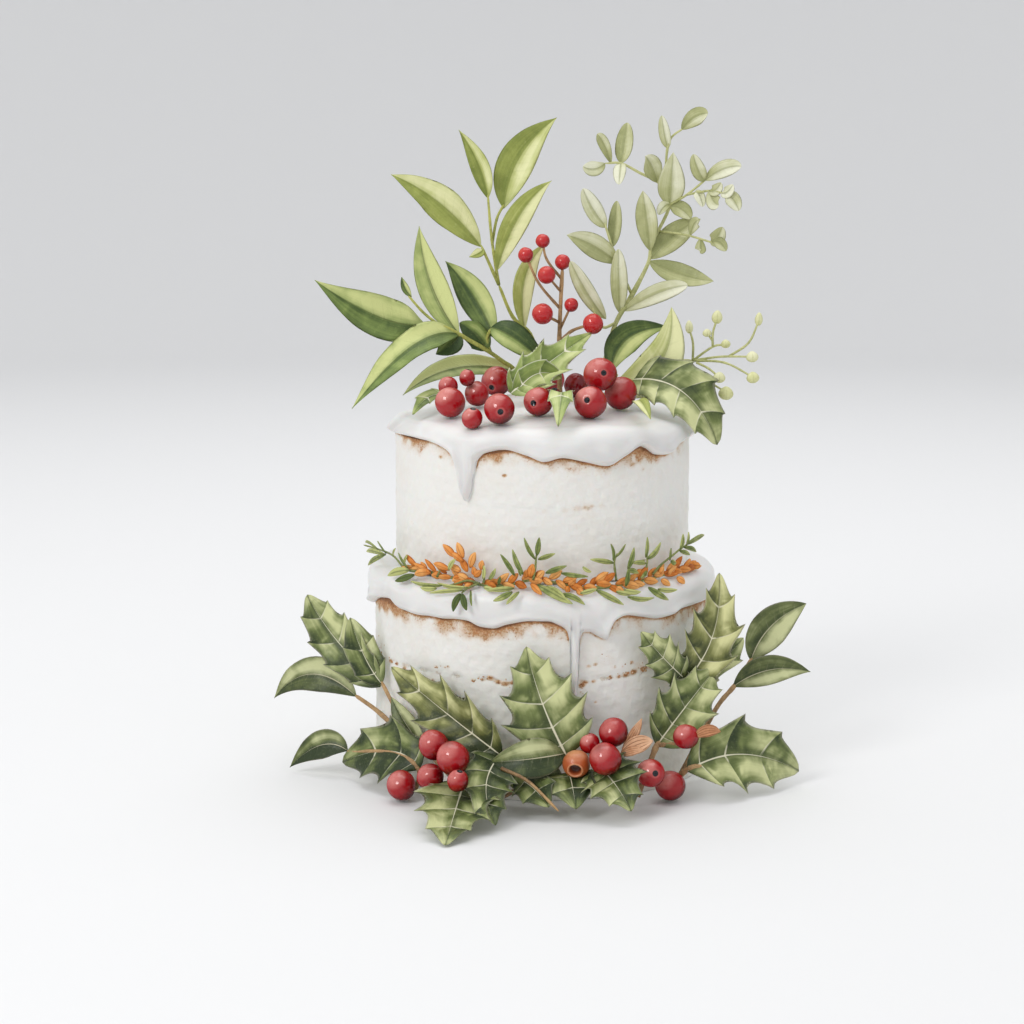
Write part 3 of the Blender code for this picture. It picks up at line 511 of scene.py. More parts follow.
@dataclass(frozen=True)
class SpongeFinish(Finish):
    """Sponge under a thin scrape of icing, with toasted crumb where the field says so.

    The field `crust` holds how toasted and how bare each place is; its toast also carries a painted
    shadow line under the icing's edge and painted shade beside the drips.

    Args:
        icing: Colour of the icing.
        thin: Colour where it is thinner.
        crumb: Colour of plain crumb.
        tan: Colour of lightly toasted crumb.
        toast: Colour of toasted crumb.
        dark: Colour of the darkest flecks.
    """

    icing: Colour = (0.83, 0.815, 0.775)
    thin: Colour = (0.74, 0.68, 0.58)
    crumb: Colour = (0.60, 0.43, 0.26)
    tan: Colour = (0.60, 0.355, 0.160)
    toast: Colour = (0.43, 0.175, 0.052)
    dark: Colour = (0.17, 0.060, 0.020)

    def paint(self, graph: Graph) -> bpy.types.Material:
        """Scraped icing, then crumb, tan, toast and dark flecks, broken up by finer noise.

        Args:
            graph: The empty graph.

        Returns:
            The material.
        """
        toast, bare, _ = graph.parts("crust")
        fine = graph.noise(0.9, 3.0, 0.6)
        coarse = graph.noise(3.6, 3.0, 0.6, 0.6)
        wide = graph.noise(24.0)
        speck = coarse * 0.55 + fine * 0.65 - 0.6
        veil = (wide * 0.65 + coarse * 0.35).step(0.42, 0.72)
        cover = (bare + speck * 1.5).step(0.30, 0.80)
        colour = graph.mix(veil * 0.30, self.icing, self.thin)
        colour = graph.mix(cover * 0.35, colour, self.crumb)
        for ragged, low, high, strength, shade in (
                (0.5, 0.03, 0.85, 0.80, self.tan), (2.9, 0.55, 1.05, 0.80, self.toast),
                (1.6, 1.0, 1.5, 0.75, self.dark)):
            share = (toast + speck * ragged).step(low, high) * strength
            colour = graph.mix(share, colour, shade)
        pores = graph.cells(1.5).step(0.05, 0.4) * (cover * 0.9 + 0.08)
        relief = fine * 0.35 + coarse * 0.3 + pores
        return graph.surface(colour, 0.62 + fine * 0.2, relief, 0.3, Subsurface_Weight=0.08,
                             Subsurface_Scale=0.002)


@dataclass(frozen=True)
class IcingFinish(Finish):
    """Set white icing with a soft gloss.

    The field `crust` holds the distance from the icing's edge in centimetres, up to 1, which places
    the painted shade above the lip.

    Args:
        white: Colour of most of it.
        shade: Colour of the clouds.
        lip: Colour of the painted shade above its lip.
    """

    white: Colour = (0.80, 0.79, 0.77)
    shade: Colour = (0.66, 0.645, 0.63)
    lip: Colour = (0.53, 0.52, 0.505)

    def paint(self, graph: Graph) -> bpy.types.Material:
        """Near white with faint wide clouds and very fine grain, and painted shade above its lip.

        Args:
            graph: The empty graph.

        Returns:
            The material.
        """
        edge, _, _ = graph.parts("crust")
        clouds = graph.noise(26.0, bend=0.4)
        grain = graph.noise(0.7, rough=0.6)
        soft = graph.noise(6.0)
        colour = graph.mix(clouds.step(0.45, 0.8) * 0.35, self.white, self.shade)
        # Painted shade: a grey band just above the lip, in the shadow of the roll.
        band = edge.band(0.10, 0.26, 0.30, 0.80) * clouds.step(0.30, 0.62)
        colour = graph.mix(band * 0.45, colour, self.lip)
        return graph.surface(colour, 0.30 + soft * 0.22, soft * 0.8 + grain * 0.12, 0.22,
                             Subsurface_Weight=0.12, Subsurface_Scale=0.003, Coat_Weight=0.1,
                             Coat_Roughness=0.25, Specular_IOR_Level=0.35)


@dataclass(frozen=True)
class BerryFinish(Finish):
    """Firm red berry skin.

    The field `berry` holds the angle from the eye over pi, a seed, and the eye's share of pi. The
    field `tone` says how far a place looks up towards the light, for painted shade and a painted
    highlight.

    Args:
        deep: Colour of its darkest parts: painted shade on the side away from the light, and its
            far end.
        body: Colour between.
        blush_and_highlight: Colour of the ring round its eye and of its painted highlight.
        eye: Colour of the eye.
        gloss: Its least roughness.
    """

    deep: Colour = (0.085, 0.001, 0.003)
    body: Colour = (0.37, 0.006, 0.010)
    blush_and_highlight: Colour = (0.78, 0.31, 0.27)
    eye: Colour = (0.003, 0.004, 0.008)
    gloss: float = 0.17

    def paint(self, graph: Graph) -> bpy.types.Material:
        """Mottled red, painted shade and highlight, a ring round the eye, and a near-black eye.

        Args:
            graph: The empty graph.

        Returns:
            The material.
        """
        polar, seed, size = graph.parts("berry")
        upper, _, _ = graph.parts("tone")
        mottle = graph.noise(4.0, 3.0, 0.6, 0.5)
        specks = graph.noise(0.8, rough=0.6)
        # Painted shade: darker towards the deep colour on the side facing away from the light.
        tone = mottle * 0.45 + specks * 0.12 + seed * 0.3 + upper * 0.9 - 0.55
        # Painted highlight: a pale patch where the skin faces the light.
        painted_highlight = upper.step(0.78, 1.0) * (mottle * 0.5 + specks * 0.3 + seed * 0.4)
        near = polar / size
        colour = graph.mix(tone.step(0.0, 0.55), self.deep, self.body)
        colour = graph.mix(painted_highlight * 0.95, colour, self.blush_and_highlight)
        colour = graph.mix((1 - near.step(1.1, 2.0)) * 0.22, colour, self.blush_and_highlight)
        colour = graph.mix(1 - near.step(0.95, 1.15), colour, self.eye)
        colour = graph.mix(polar.step(0.80, 1.0) * 0.5, colour, self.deep)
        return graph.surface(colour, self.gloss + specks * 0.12 + mottle * 0.08,
                             mottle * 0.6 + specks * 0.1, 0.06, Coat_Weight=0.55,
                             Coat_Roughness=0.05, Coat_IOR=1.75, Specular_IOR_Level=0.0)


@dataclass(frozen=True)
class HipFinish(Finish):
    """Open rose hip: brown-orange wall, a cream rim, a dark hollow, and a painted highlight on top.

    The field `berry` holds the angle from the hollow over pi, and how high a place lies, for the
    painted highlight on top.

    Args:
        wall: Colour of its side.
        crown: Colour of its rim, and of the painted highlight on its top.
        hollow: Colour inside.
    """

    wall: Colour = (0.45, 0.095, 0.022)
    crown: Colour = (0.76, 0.40, 0.20)
    hollow: Colour = (0.050, 0.012, 0.006)

    def paint(self, graph: Graph) -> bpy.types.Material:
        """Dark inside the rim, brown-orange outside, a cream rim, and a painted highlight on top.

        Args:
            graph: The empty graph.

        Returns:
            The material.
        """
        polar, high, _ = graph.parts("berry")
        mottle = graph.noise(2.4, 3.0, 0.6)
        # Painted highlight: the wall pales to the crown colour towards the top.
        pale = (high + (mottle - 0.5) * 0.3).step(0.62, 1.05)
        rim = 1 - abs(polar - 0.165) * 26
        colour = graph.mix(pale * 0.6, self.wall, self.crown)
        colour = graph.mix(rim.step(0.0, 0.8) * 0.45, colour, self.crown)
        colour = graph.mix(1 - polar.step(0.095, 0.15), colour, self.hollow)
        return graph.surface(colour, 0.3 + mottle * 0.25, mottle, 0.2, Coat_Weight=0.3,
                             Coat_Roughness=0.15)


@dataclass(frozen=True)
class LeafFinish(Finish):
    """Leaf blade with its midrib and side veins.

    The field `leaf` holds how far across from -1 to 1, how far along from 0 to 1, and a count that
    is whole at each side vein. The field `tone` holds a seed, a tint from -1 to 1, and 1 behind.

    Args:
        deep: Colour of its darkest parts, and of the painted shade by the rib and on the darker
            half.
        body: Colour between.
        bright: Colour of its lightest parts.
        vein: Colour of the veins and the rim.
        behind: Colour of its back.
        rib_width: Width of the midrib at the foot, as a share of the half-width.
        rib_strength: How far the midrib takes the veins' colour.
        side_width: Width of the side veins, as a share of the space between two.
        side_strength: How far the side veins take the veins' colour.
        wash: Strength of the soft patches.
        halves: How much lighter one half is than the other, as painted light and shade.
        glow: Strength of the painted highlight in the middle of each half.
        panel_shading: How much each panel between side veins pales towards the next one, as painted
            shade and light.
        glint: Strength of the painted highlight flecks beside the side veins.
        rim: Strength of the pale rim.
        gloss: Its least roughness.
        pale_tip: How much paler the tip is than the foot.
    """

    deep: Colour
    body: Colour
    bright: Colour
    vein: Colour
    behind: Colour = (0.30, 0.35, 0.17)
    rib_width: float = 0.045
    rib_strength: float = 0.8
    side_width: float = 0.10
    side_strength: float = 0.08
    wash: float = 0.8
    halves: float = 0.12
    glow: float = 0.35
    panel_shading: float = 0.0
    glint: float = 0.0
    rim: float = 0.2
    gloss: float = 0.36
    pale_tip: float = 0.0

    def paint(self, graph: Graph) -> bpy.types.Material:
        """Painted highlights, painted shade by the rib, panels painted paler forwards, and the
        veins.

        Args:
            graph: The empty graph.

        Returns:
            The material.
        """
        across, along, count = graph.parts("leaf")
        seed, tint, behind = graph.parts("tone")
        off = abs(across)
        panel = count.math("FRACT")
        wash = graph.noise(9.0, bend=0.6)
        fine = graph.noise(1.4, 3.0, 0.6)
        flow = graph.node("CombineXYZ", {}, {0: across * 8, 1: along, 2: seed * 9})
        streak = graph.node("TexNoise", {}, {"Vector": flow, "Scale": 1.0, "Detail": 2.0,
                                             "Roughness": 0.5}, "Fac")
        # Painted light and shade: one half of the blade lighter, the other darker.
        lit = across.step(-0.14, 0.14) * 2 - 1
        # Painted highlight: a soft light place in the middle of each half, stronger on the lighter
        # half.
        glow = off.band(0.12, 0.50, 0.50, 0.98) * along.band(0.05, 0.35, 0.65, 1.0)
        glow = glow * (lit * 0.4 + 0.7) - 0.2
        # Painted highlight: light flecks just beside each side vein.
        glint = panel.band(0.03, 0.12, 0.14, 0.34) * off.band(0.12, 0.30, 0.50, 0.80)
        light = (wash - 0.5) * self.wash + (streak - 0.5) * 0.45 + (seed - 0.5) * 0.3 + tint * 0.6
        light = light + lit * self.halves + glow * self.glow + (along - 0.4) * self.pale_tip
        # Painted shade and light: each panel darker after one vein and paler before the next.
        light = light + (panel - 0.5) * self.panel_shading * off.step(0.04, 0.35)
        light = light + glint * wash.step(0.46, 0.58) * self.glint
        colour = graph.mix(light.step(-0.15, 0.75), self.body, self.bright)
        colour = graph.mix((0 - light).step(-0.15, 0.65), colour, self.deep)
        # Painted shade along the midrib, deeper on the darker half; the blade also darkens towards
        # its foot.
        rib_shade = (1 - off.step(0.0, 0.32)) * (0.40 - lit * 0.22)
        colour = graph.mix(rib_shade + (1 - along.step(0.0, 0.25)) * 0.35, colour, self.deep)
        colour = graph.mix(fine.step(0.55, 0.8) * 0.15, colour, self.bright)
        colour = graph.mix(off.step(0.90, 0.99) * self.rim, colour, self.vein)
        nearest = abs(count - count.math("ROUND"))
        reach = (1.10 - off) * (1 - off.step(0.62, 0.90))
        line = (1 - (nearest / (reach * self.side_width + 0.004)).step(0.45, 1.1)) * reach
        side = line * wash.step(0.36, 0.52)
        colour = graph.mix((side * self.side_strength).math("MINIMUM", 1.0), colour, self.vein)
        rib = 1 - (off / ((1.08 - along) * self.rib_width)).step(0.5, 1.15)
        colour = graph.mix(rib * self.rib_strength, colour, self.vein)
        under = graph.mix(rib * 0.5 + side * 0.2 + fine * 0.2, self.behind, self.vein)
        colour = graph.mix(behind * 0.8, colour, under)
        net = graph.cells(1.9, "DISTANCE_TO_EDGE").step(0.0, 0.22)
        relief = rib * 0.5 + line * 0.3 + net * 0.2 + fine * 0.25 + wash * 0.4
        return graph.surface(colour, self.gloss + fine * 0.16 + behind * 0.2, relief, 0.22,
                             Coat_Weight=0.08, Coat_Roughness=0.26, Specular_IOR_Level=0.3)


@dataclass(frozen=True)
class HollyFinish(LeafFinish):
    """Holly blade: pale side veins, panels painted paler forwards, and painted highlight glints."""

    rib_width: float = 0.042
    rib_strength: float = 0.95
    side_width: float = 0.030
    side_strength: float = 0.75
    wash: float = 1.3
    panel_shading: float = 0.75
    glint: float = 0.3
    rim: float = 0.35
    gloss: float = 0.34


@dataclass(frozen=True)
class StemFinish(Finish):
    """Thin green or woody stem, streaked between a dark and a light colour.

    Args:
        dark: The dark colour.
        light: The light one.
        gloss: Its least roughness.
    """

    dark: Colour
    light: Colour
    gloss: float = 0.5

    def paint(self, graph: Graph) -> bpy.types.Material:
        """Streaks, wide patches, and a little paler towards its tip.

        Args:
            graph: The empty graph.

        Returns:
            The material.
        """
        _, along, _ = graph.parts("leaf")
        streak = graph.noise(1.3, 3.0, 0.6, 0.8)
        share = (streak * 0.7 + graph.noise(7.0) * 0.5 + along * 0.25).step(0.42, 0.95)
        colour = graph.mix(share, self.dark, self.light)
        return graph.surface(colour, self.gloss + streak * 0.2, streak, 0.25)


@dataclass(frozen=True)
class StripedFinish(Finish):
    """Bud scale, petal or needle with fine stripes along it.

    Args:
        dark: Colour of the stripes and the foot.
        body: Colour between.
        pale: Colour of the tip.
        stripes: Stripes on each side of the middle.
        stripe_strength: How dark the stripes are.
        gloss: Its least roughness.
    """

    dark: Colour
    body: Colour
    pale: Colour
    stripes: float
    stripe_strength: float = 0.5
    gloss: float = 0.5

    def paint(self, graph: Graph) -> bpy.types.Material:
        """Body colour paler to the tip, with dark stripes and a dark foot.

        Args:
            graph: The empty graph.

        Returns:
            The material.
        """
        across, along, _ = graph.parts("leaf")
        seed, tint, _ = graph.parts("tone")
        wash = graph.noise(3.2, 3.0, 0.6, 0.4)
        fine = graph.noise(0.8, rough=0.6)
        light = (wash - 0.5) * 1.3 + (seed - 0.5) * 0.5 + tint * 0.7
        colour = graph.mix((light + along * 0.4).step(-0.2, 0.8), self.body, self.pale)
        colour = graph.mix((0 - light).step(0.1, 0.9) * 0.6, colour, self.dark)
        wave = (across * self.stripes * math.pi).math("COSINE") * 0.5 + 0.5
        line = wave.step(0.82, 1.0) * (1 - along.step(0.70, 0.95))
        share = line * self.stripe_strength + (1 - along.step(0.0, 0.18)) * 0.4
        colour = graph.mix(share.math("MINIMUM", 1.0), colour, self.dark)
        return graph.surface(colour, self.gloss + fine * 0.2, fine * 0.5 - line * 0.6, 0.2,
                             Specular_IOR_Level=0.3)


@dataclass(frozen=True)
class StageFinish(Finish):
    """Plain pale floor and backdrop.

    Args:
        colour: Its colour.
    """

    colour: Colour = (0.80, 0.80, 0.80)

    def paint(self, graph: Graph) -> bpy.types.Material:
        """One matt colour."""
        return graph.surface(self.colour, 0.9)


class Finishes(Enum):
    """Every finish of the cake."""

    SPONGE = SpongeFinish("scraped_sponge", "sponge")
    ICING = IcingFinish("white_icing", "icing")
    BERRY = BerryFinish("red_berry", "berry")
    DARK_BERRY = BerryFinish("shaded_berry", "dark_berry", (0.06, 0.002, 0.004),
                             (0.19, 0.006, 0.010), (0.36, 0.02, 0.025))
    TWIG_BERRY = BerryFinish("twig_berry", "berry", (0.25, 0.006, 0.010), (0.50, 0.016, 0.020),
                             (0.68, 0.09, 0.07))
    HIP = HipFinish("rose_hip", "hip")
    LONG_LEAF = LeafFinish("long_blade", "leaf", (0.040, 0.075, 0.018), (0.22, 0.30, 0.075),
                           (0.62, 0.66, 0.27), (0.12, 0.15, 0.04), rib_width=0.05,
                           side_strength=0.06, halves=0.30, gloss=0.42)
    YOUNG_LEAF = LeafFinish("young_blade", "spring_leaf", (0.16, 0.20, 0.035), (0.43, 0.475, 0.12),
                            (0.80, 0.80, 0.44), (0.25, 0.29, 0.07), (0.38, 0.42, 0.13),
                            rib_strength=0.75, wash=0.7, halves=0.28, glow=0.2, gloss=0.46)
    FAINT_LEAF = LeafFinish("faint_blade", "pale_leaf", (0.27, 0.29, 0.115), (0.50, 0.51, 0.25),
                            (0.82, 0.82, 0.63), (0.34, 0.35, 0.16), (0.56, 0.57, 0.36),
                            0.07, 0.35, halves=0.16, glow=0.1, gloss=0.55, pale_tip=0.45)
    HOLLY = HollyFinish("holly_blade", "holly", (0.026, 0.042, 0.012), (0.165, 0.205, 0.060),
                        (0.60, 0.62, 0.31), (0.76, 0.73, 0.54), pale_tip=0.35)
    OLIVE_HOLLY = HollyFinish("olive_blade", "holly", (0.032, 0.044, 0.012), (0.22, 0.23, 0.068),
                              (0.66, 0.65, 0.32), (0.76, 0.72, 0.52), pale_tip=0.60)
    FRESH_HOLLY = HollyFinish("fresh_blade", "holly", (0.085, 0.13, 0.028), (0.29, 0.375, 0.095),
                              (0.66, 0.71, 0.33), (0.86, 0.84, 0.66), rib_width=0.06,
                              side_width=0.045, side_strength=0.9, wash=1.0, glow=0.3, panel_shading=0.5,
                              glint=0.0, rim=0.75, gloss=0.38)
    SMOOTH_LEAF = LeafFinish("smooth_blade", "holly", (0.028, 0.044, 0.014), (0.15, 0.18, 0.058),
                             (0.58, 0.60, 0.32), (0.66, 0.61, 0.42), rib_strength=0.85,
                             side_width=0.06, side_strength=0.10, wash=1.2, halves=0.25, glow=0.5,
                             rim=0.25, gloss=0.32)
    GREEN_STEM = StemFinish("green_stem", "leaf", (0.17, 0.20, 0.035), (0.50, 0.50, 0.12))
    PALE_STEM = StemFinish("pale_stem", "pale_leaf", (0.30, 0.32, 0.11), (0.58, 0.58, 0.27))
    WOODY = StemFinish("woody_stem", "holly", (0.16, 0.085, 0.035), (0.50, 0.31, 0.14))
    GARLAND_STEM = StemFinish("garland_stem", "rosemary", (0.07, 0.10, 0.025), (0.30, 0.33, 0.10))
    PALE_BUD = StripedFinish("pale_bud", "pale_leaf", (0.46, 0.48, 0.20), (0.68, 0.68, 0.34),
                             (0.80, 0.79, 0.52), 2.0, 0.3)
    ORANGE_BUD = StripedFinish("orange_bud", "bud", (0.30, 0.065, 0.010), (0.68, 0.215, 0.030),
                               (0.84, 0.42, 0.13), 2.0)
    NEEDLE = StripedFinish("rosemary_needle", "rosemary", (0.026, 0.052, 0.012),
                           (0.150, 0.195, 0.045), (0.50, 0.52, 0.19), 1.0)
    DRIED = StripedFinish("dried_petal", "dried", (0.24, 0.075, 0.026), (0.58, 0.27, 0.13),
                          (0.76, 0.47, 0.29), 5.0, 0.8)
    STAGE = StageFinish("pale_stage", "icing")


# Cake and icing


@dataclass
class IcingCap:
    """Icing over a tier, whose skirt hangs down the side to a wavy edge with drips.

    Args:
        name: Name of the solid it stands for.
        radius: Radius of the tier below.
        under: Height of its underside.
        top: Height of its top at the rim.
        rise: How much higher the middle is.
        front: Seen places of its lower edge in front, from left to right.
        back: Bearing in degrees and height of its lower edge behind.
        thin_below: Height below which its drips run thin.
        seed: Seed of its waves.
        columns: Points round it, set closer where the edge is steep.
        thick: How far the coat stands out from the tier.
        bead: Distance over which its lip is rounded.
        rim: Radius of its upper edge.
        waves: Height of the slow waves of its top.
        wavelength: Length of those waves.
        lip: Height, distance from the edge and width of the roll above the lip.
        trough: Depth, distance and width of the trough above the roll.
        blob: Height, distance and width of the swelling at the foot of a drip.
        inset: How far inside the tier's side its hem lies.
        fine: Bearings at which its edge is worked out.
        drip_reach: Distance within which the edge beside a drip counts as its top.
    """

    name: str
    radius: float
    under: float
    top: float
    rise: float
    front: Sequence[tuple[float, float]]
    back: Sequence[tuple[float, float]]
    thin_below: float = 0.0
    seed: int = 3
    columns: int = 1180
    thick: float = 2.4
    bead: float = 2.3
    rim: float = 8.0
    waves: float = 0.35
    wavelength: float = 46.0
    lip: Triple = (0.75, 2.4, 1.5)
    trough: Triple = (0.45, 6.2, 2.2)
    blob: Triple = (0.9, 3.5, 4.5)
    inset: float = 1.2
    fine: int = 4800
    drip_reach: float = 9.0

    def __post_init__(self) -> None:
        """Work out the edge, and places evenly spaced along its own length."""
        self.grid = full_turn(self.fine)
        self.sharp = self._outline()
        reach = int(self.drip_reach / self.radius / TAU * self.fine)
        top = np.max([np.roll(self.sharp, k) for k in range(-reach, reach + 1)], 0)
        self.soft = 0.5 * (np.roll(top, reach // 2) + np.roll(top, -reach // 2))
        angle = np.linspace(0, TAU, 5 * self.fine + 1)
        length = np.hypot(np.diff(angle) * self.radius, np.diff(self.edge_height(angle)))
        run = np.concatenate([[0.0], np.cumsum(length)])
        even = np.linspace(0, run[-1], self.columns, endpoint=False)
        self.angles = np.interp(even, run, angle)
        self.edge = self.edge_height(self.angles)

    def _outline(self) -> Array:
        """Edge height all round: a cubic through the places, level at each high or low one.

        Returns:
            Height at each bearing of the grid.
        """
        places = [wall_mark(a, b, self.radius) for a, b in self.front]
        places += [(math.radians(angle), height) for angle, height in self.back]
        turn, height = np.array(sorted((angle % TAU, height) for angle, height in places)).T
        turn = np.concatenate([turn[-2:] - TAU, turn, turn[:2] + TAU])
        height = np.concatenate([height[-2:], height, height[:2]])
        rise = np.diff(height) / np.diff(turn)
        both = rise[:-1] * rise[1:]
        slope = np.where(both > 0, 2 * both / np.where(both > 0, rise[:-1] + rise[1:], 1.0), 0.0)
        slope = np.pad(slope, 1)
        at = np.searchsorted(turn, self.grid, "right") - 1
        step = turn[at + 1] - turn[at]
        u = (self.grid - turn[at]) / step
        return (height[at] * (1 + 2 * u) * (1 - u) ** 2 + height[at + 1] * u**2 * (3 - 2 * u)
                + step * u * (1 - u) * (slope[at] * (1 - u) - slope[at + 1] * u))

    def edge_height(self, angle: Array) -> Array:
        """Height of the lower edge at each bearing."""
        return np.interp(angle, self.grid, self.sharp, period=TAU)

    def soft_edge(self, angle: Array) -> Array:
        """Height of the edge at each bearing without its drips."""
        return np.interp(angle, self.grid, self.soft, period=TAU)

    def edge_distance(self, angle: Array, height: Array) -> Array:
        """Distance along the wall to the nearest point of the edge.

        Args:
            angle: Bearings, shaped (rows, steps).
            height: Heights, shaped alike.

        Returns:
            Distances, shaped alike.
        """
        found = np.empty(angle.shape)
        for row, (turns, heights) in enumerate(zip(angle, height)):
            turn = wrapped(turns[:, None] - self.angles)
            rise = heights[:, None] - self.edge
            found[row] = np.sqrt(((turn * self.radius) ** 2 + rise**2).min(1))
        return found

    def make(self) -> None:
        """Build the cap.

        The top runs from the middle to the rim. From there each column falls to the edge with its
        heights eased at both ends. The wall stands out by a quarter ellipse at the rim and a thin
        coat below it, swells at the foot of each drip and in the roll above the edge, and is
        rounded in to the tier by sqrt(1 - (1 - d / bead)^2) at distance d from the edge.
        """
        angles = self.angles[None]
        waves = Ripple(self.seed, self.wavelength)
        inner = self.radius - self.inset
        out = np.linspace(0.02, 1.0, 15)[:, None] ** 0.9 * (self.radius - self.rim)
        crown = self.top + self.rise * np.maximum(0.0, 1 - (out / DOME_RADIUS) ** 2)
        top = round_at(angles, out, crown)
        top[..., 2] += self.waves * waves(top) * smoothstep(0, 12, out)
        share = 0.5 - 0.5 * np.cos(np.linspace(0, math.pi, 40))[1:, None]
        height = self.top - (self.top - self.edge[None]) * share
        drip = self.soft_edge(self.angles)[None] - self.edge[None]
        below = np.clip(drip, 0.0, 25.0) * 0.03
        thick = self.thick + GAP + 0.45 * np.sin(7 * angles) + below * smoothstep(0, 1, share)
        thick = thick * (1 - 0.84 * smoothstep(self.thin_below, self.thin_below - 10, height))
        fall = np.clip((height - (self.top - self.rim)) / self.rim, 0.0, 1.0)
        quarter = np.sqrt(np.maximum(0.0, 1 - fall * fall))
        wall = self.radius - self.rim + (self.rim + thick) * quarter
        dents = Ripple(self.seed + 1, 17.0)(round_at(angles, wall, height))
        wall = wall + 0.28 * dents * (1 - fall)
        swell, above, width = self.blob
        blob = hump(height, self.edge + above, width) * (self.edge > self.thin_below)
        wall = wall + swell * blob * smoothstep(2.0, 12.0, drip)
        distance = self.edge_distance(angles + 0 * height, height)
        distance = np.where(height > self.top - 1.0, 10.0, distance)
        wall = wall + self.lip[0] * hump(distance, *self.lip[1:])
        wall = wall - self.trough[0] * hump(distance, *self.trough[1:])
        near = np.clip(distance / self.bead, 0.0, 1.0)
        wall = inner + (wall - inner) * np.sqrt(np.maximum(0.0, 1 - (1 - near) ** 2))
        side = round_at(angles, wall, height)
        side[..., 2] += self.waves * waves(side) * fall
        hem = [round_at(self.angles, inner - 0.8, self.edge + 0.6),
               round_at(self.angles, inner - 1.6, self.under),
               round_at(self.angles, 0.5 * inner, self.under)]
        from_edge = np.concatenate([np.ones(top.shape[:2]), np.clip(distance / 10, 0, 1),
                                    np.zeros((len(hem), self.columns))])
        shell = Shell(np.concatenate([top, side, hem]), point(0, 0, self.top + self.rise),
                      point(0, 0, self.under), {"crust": np.stack([from_edge] * 3, -1)})
        piece(self.name + "_coat", [shell], Finishes.ICING, self.name)


RAGGED = Ripple(11, 9.0)
STAINS = Ripple(12, 60.0)
PATCHES = Ripple(21, 13.0)
PITS = (Ripple(32, 2.6), Ripple(33, 1.7))
SCRAPES = (Ripple(31, 7.0), Ripple(34, 3.0))


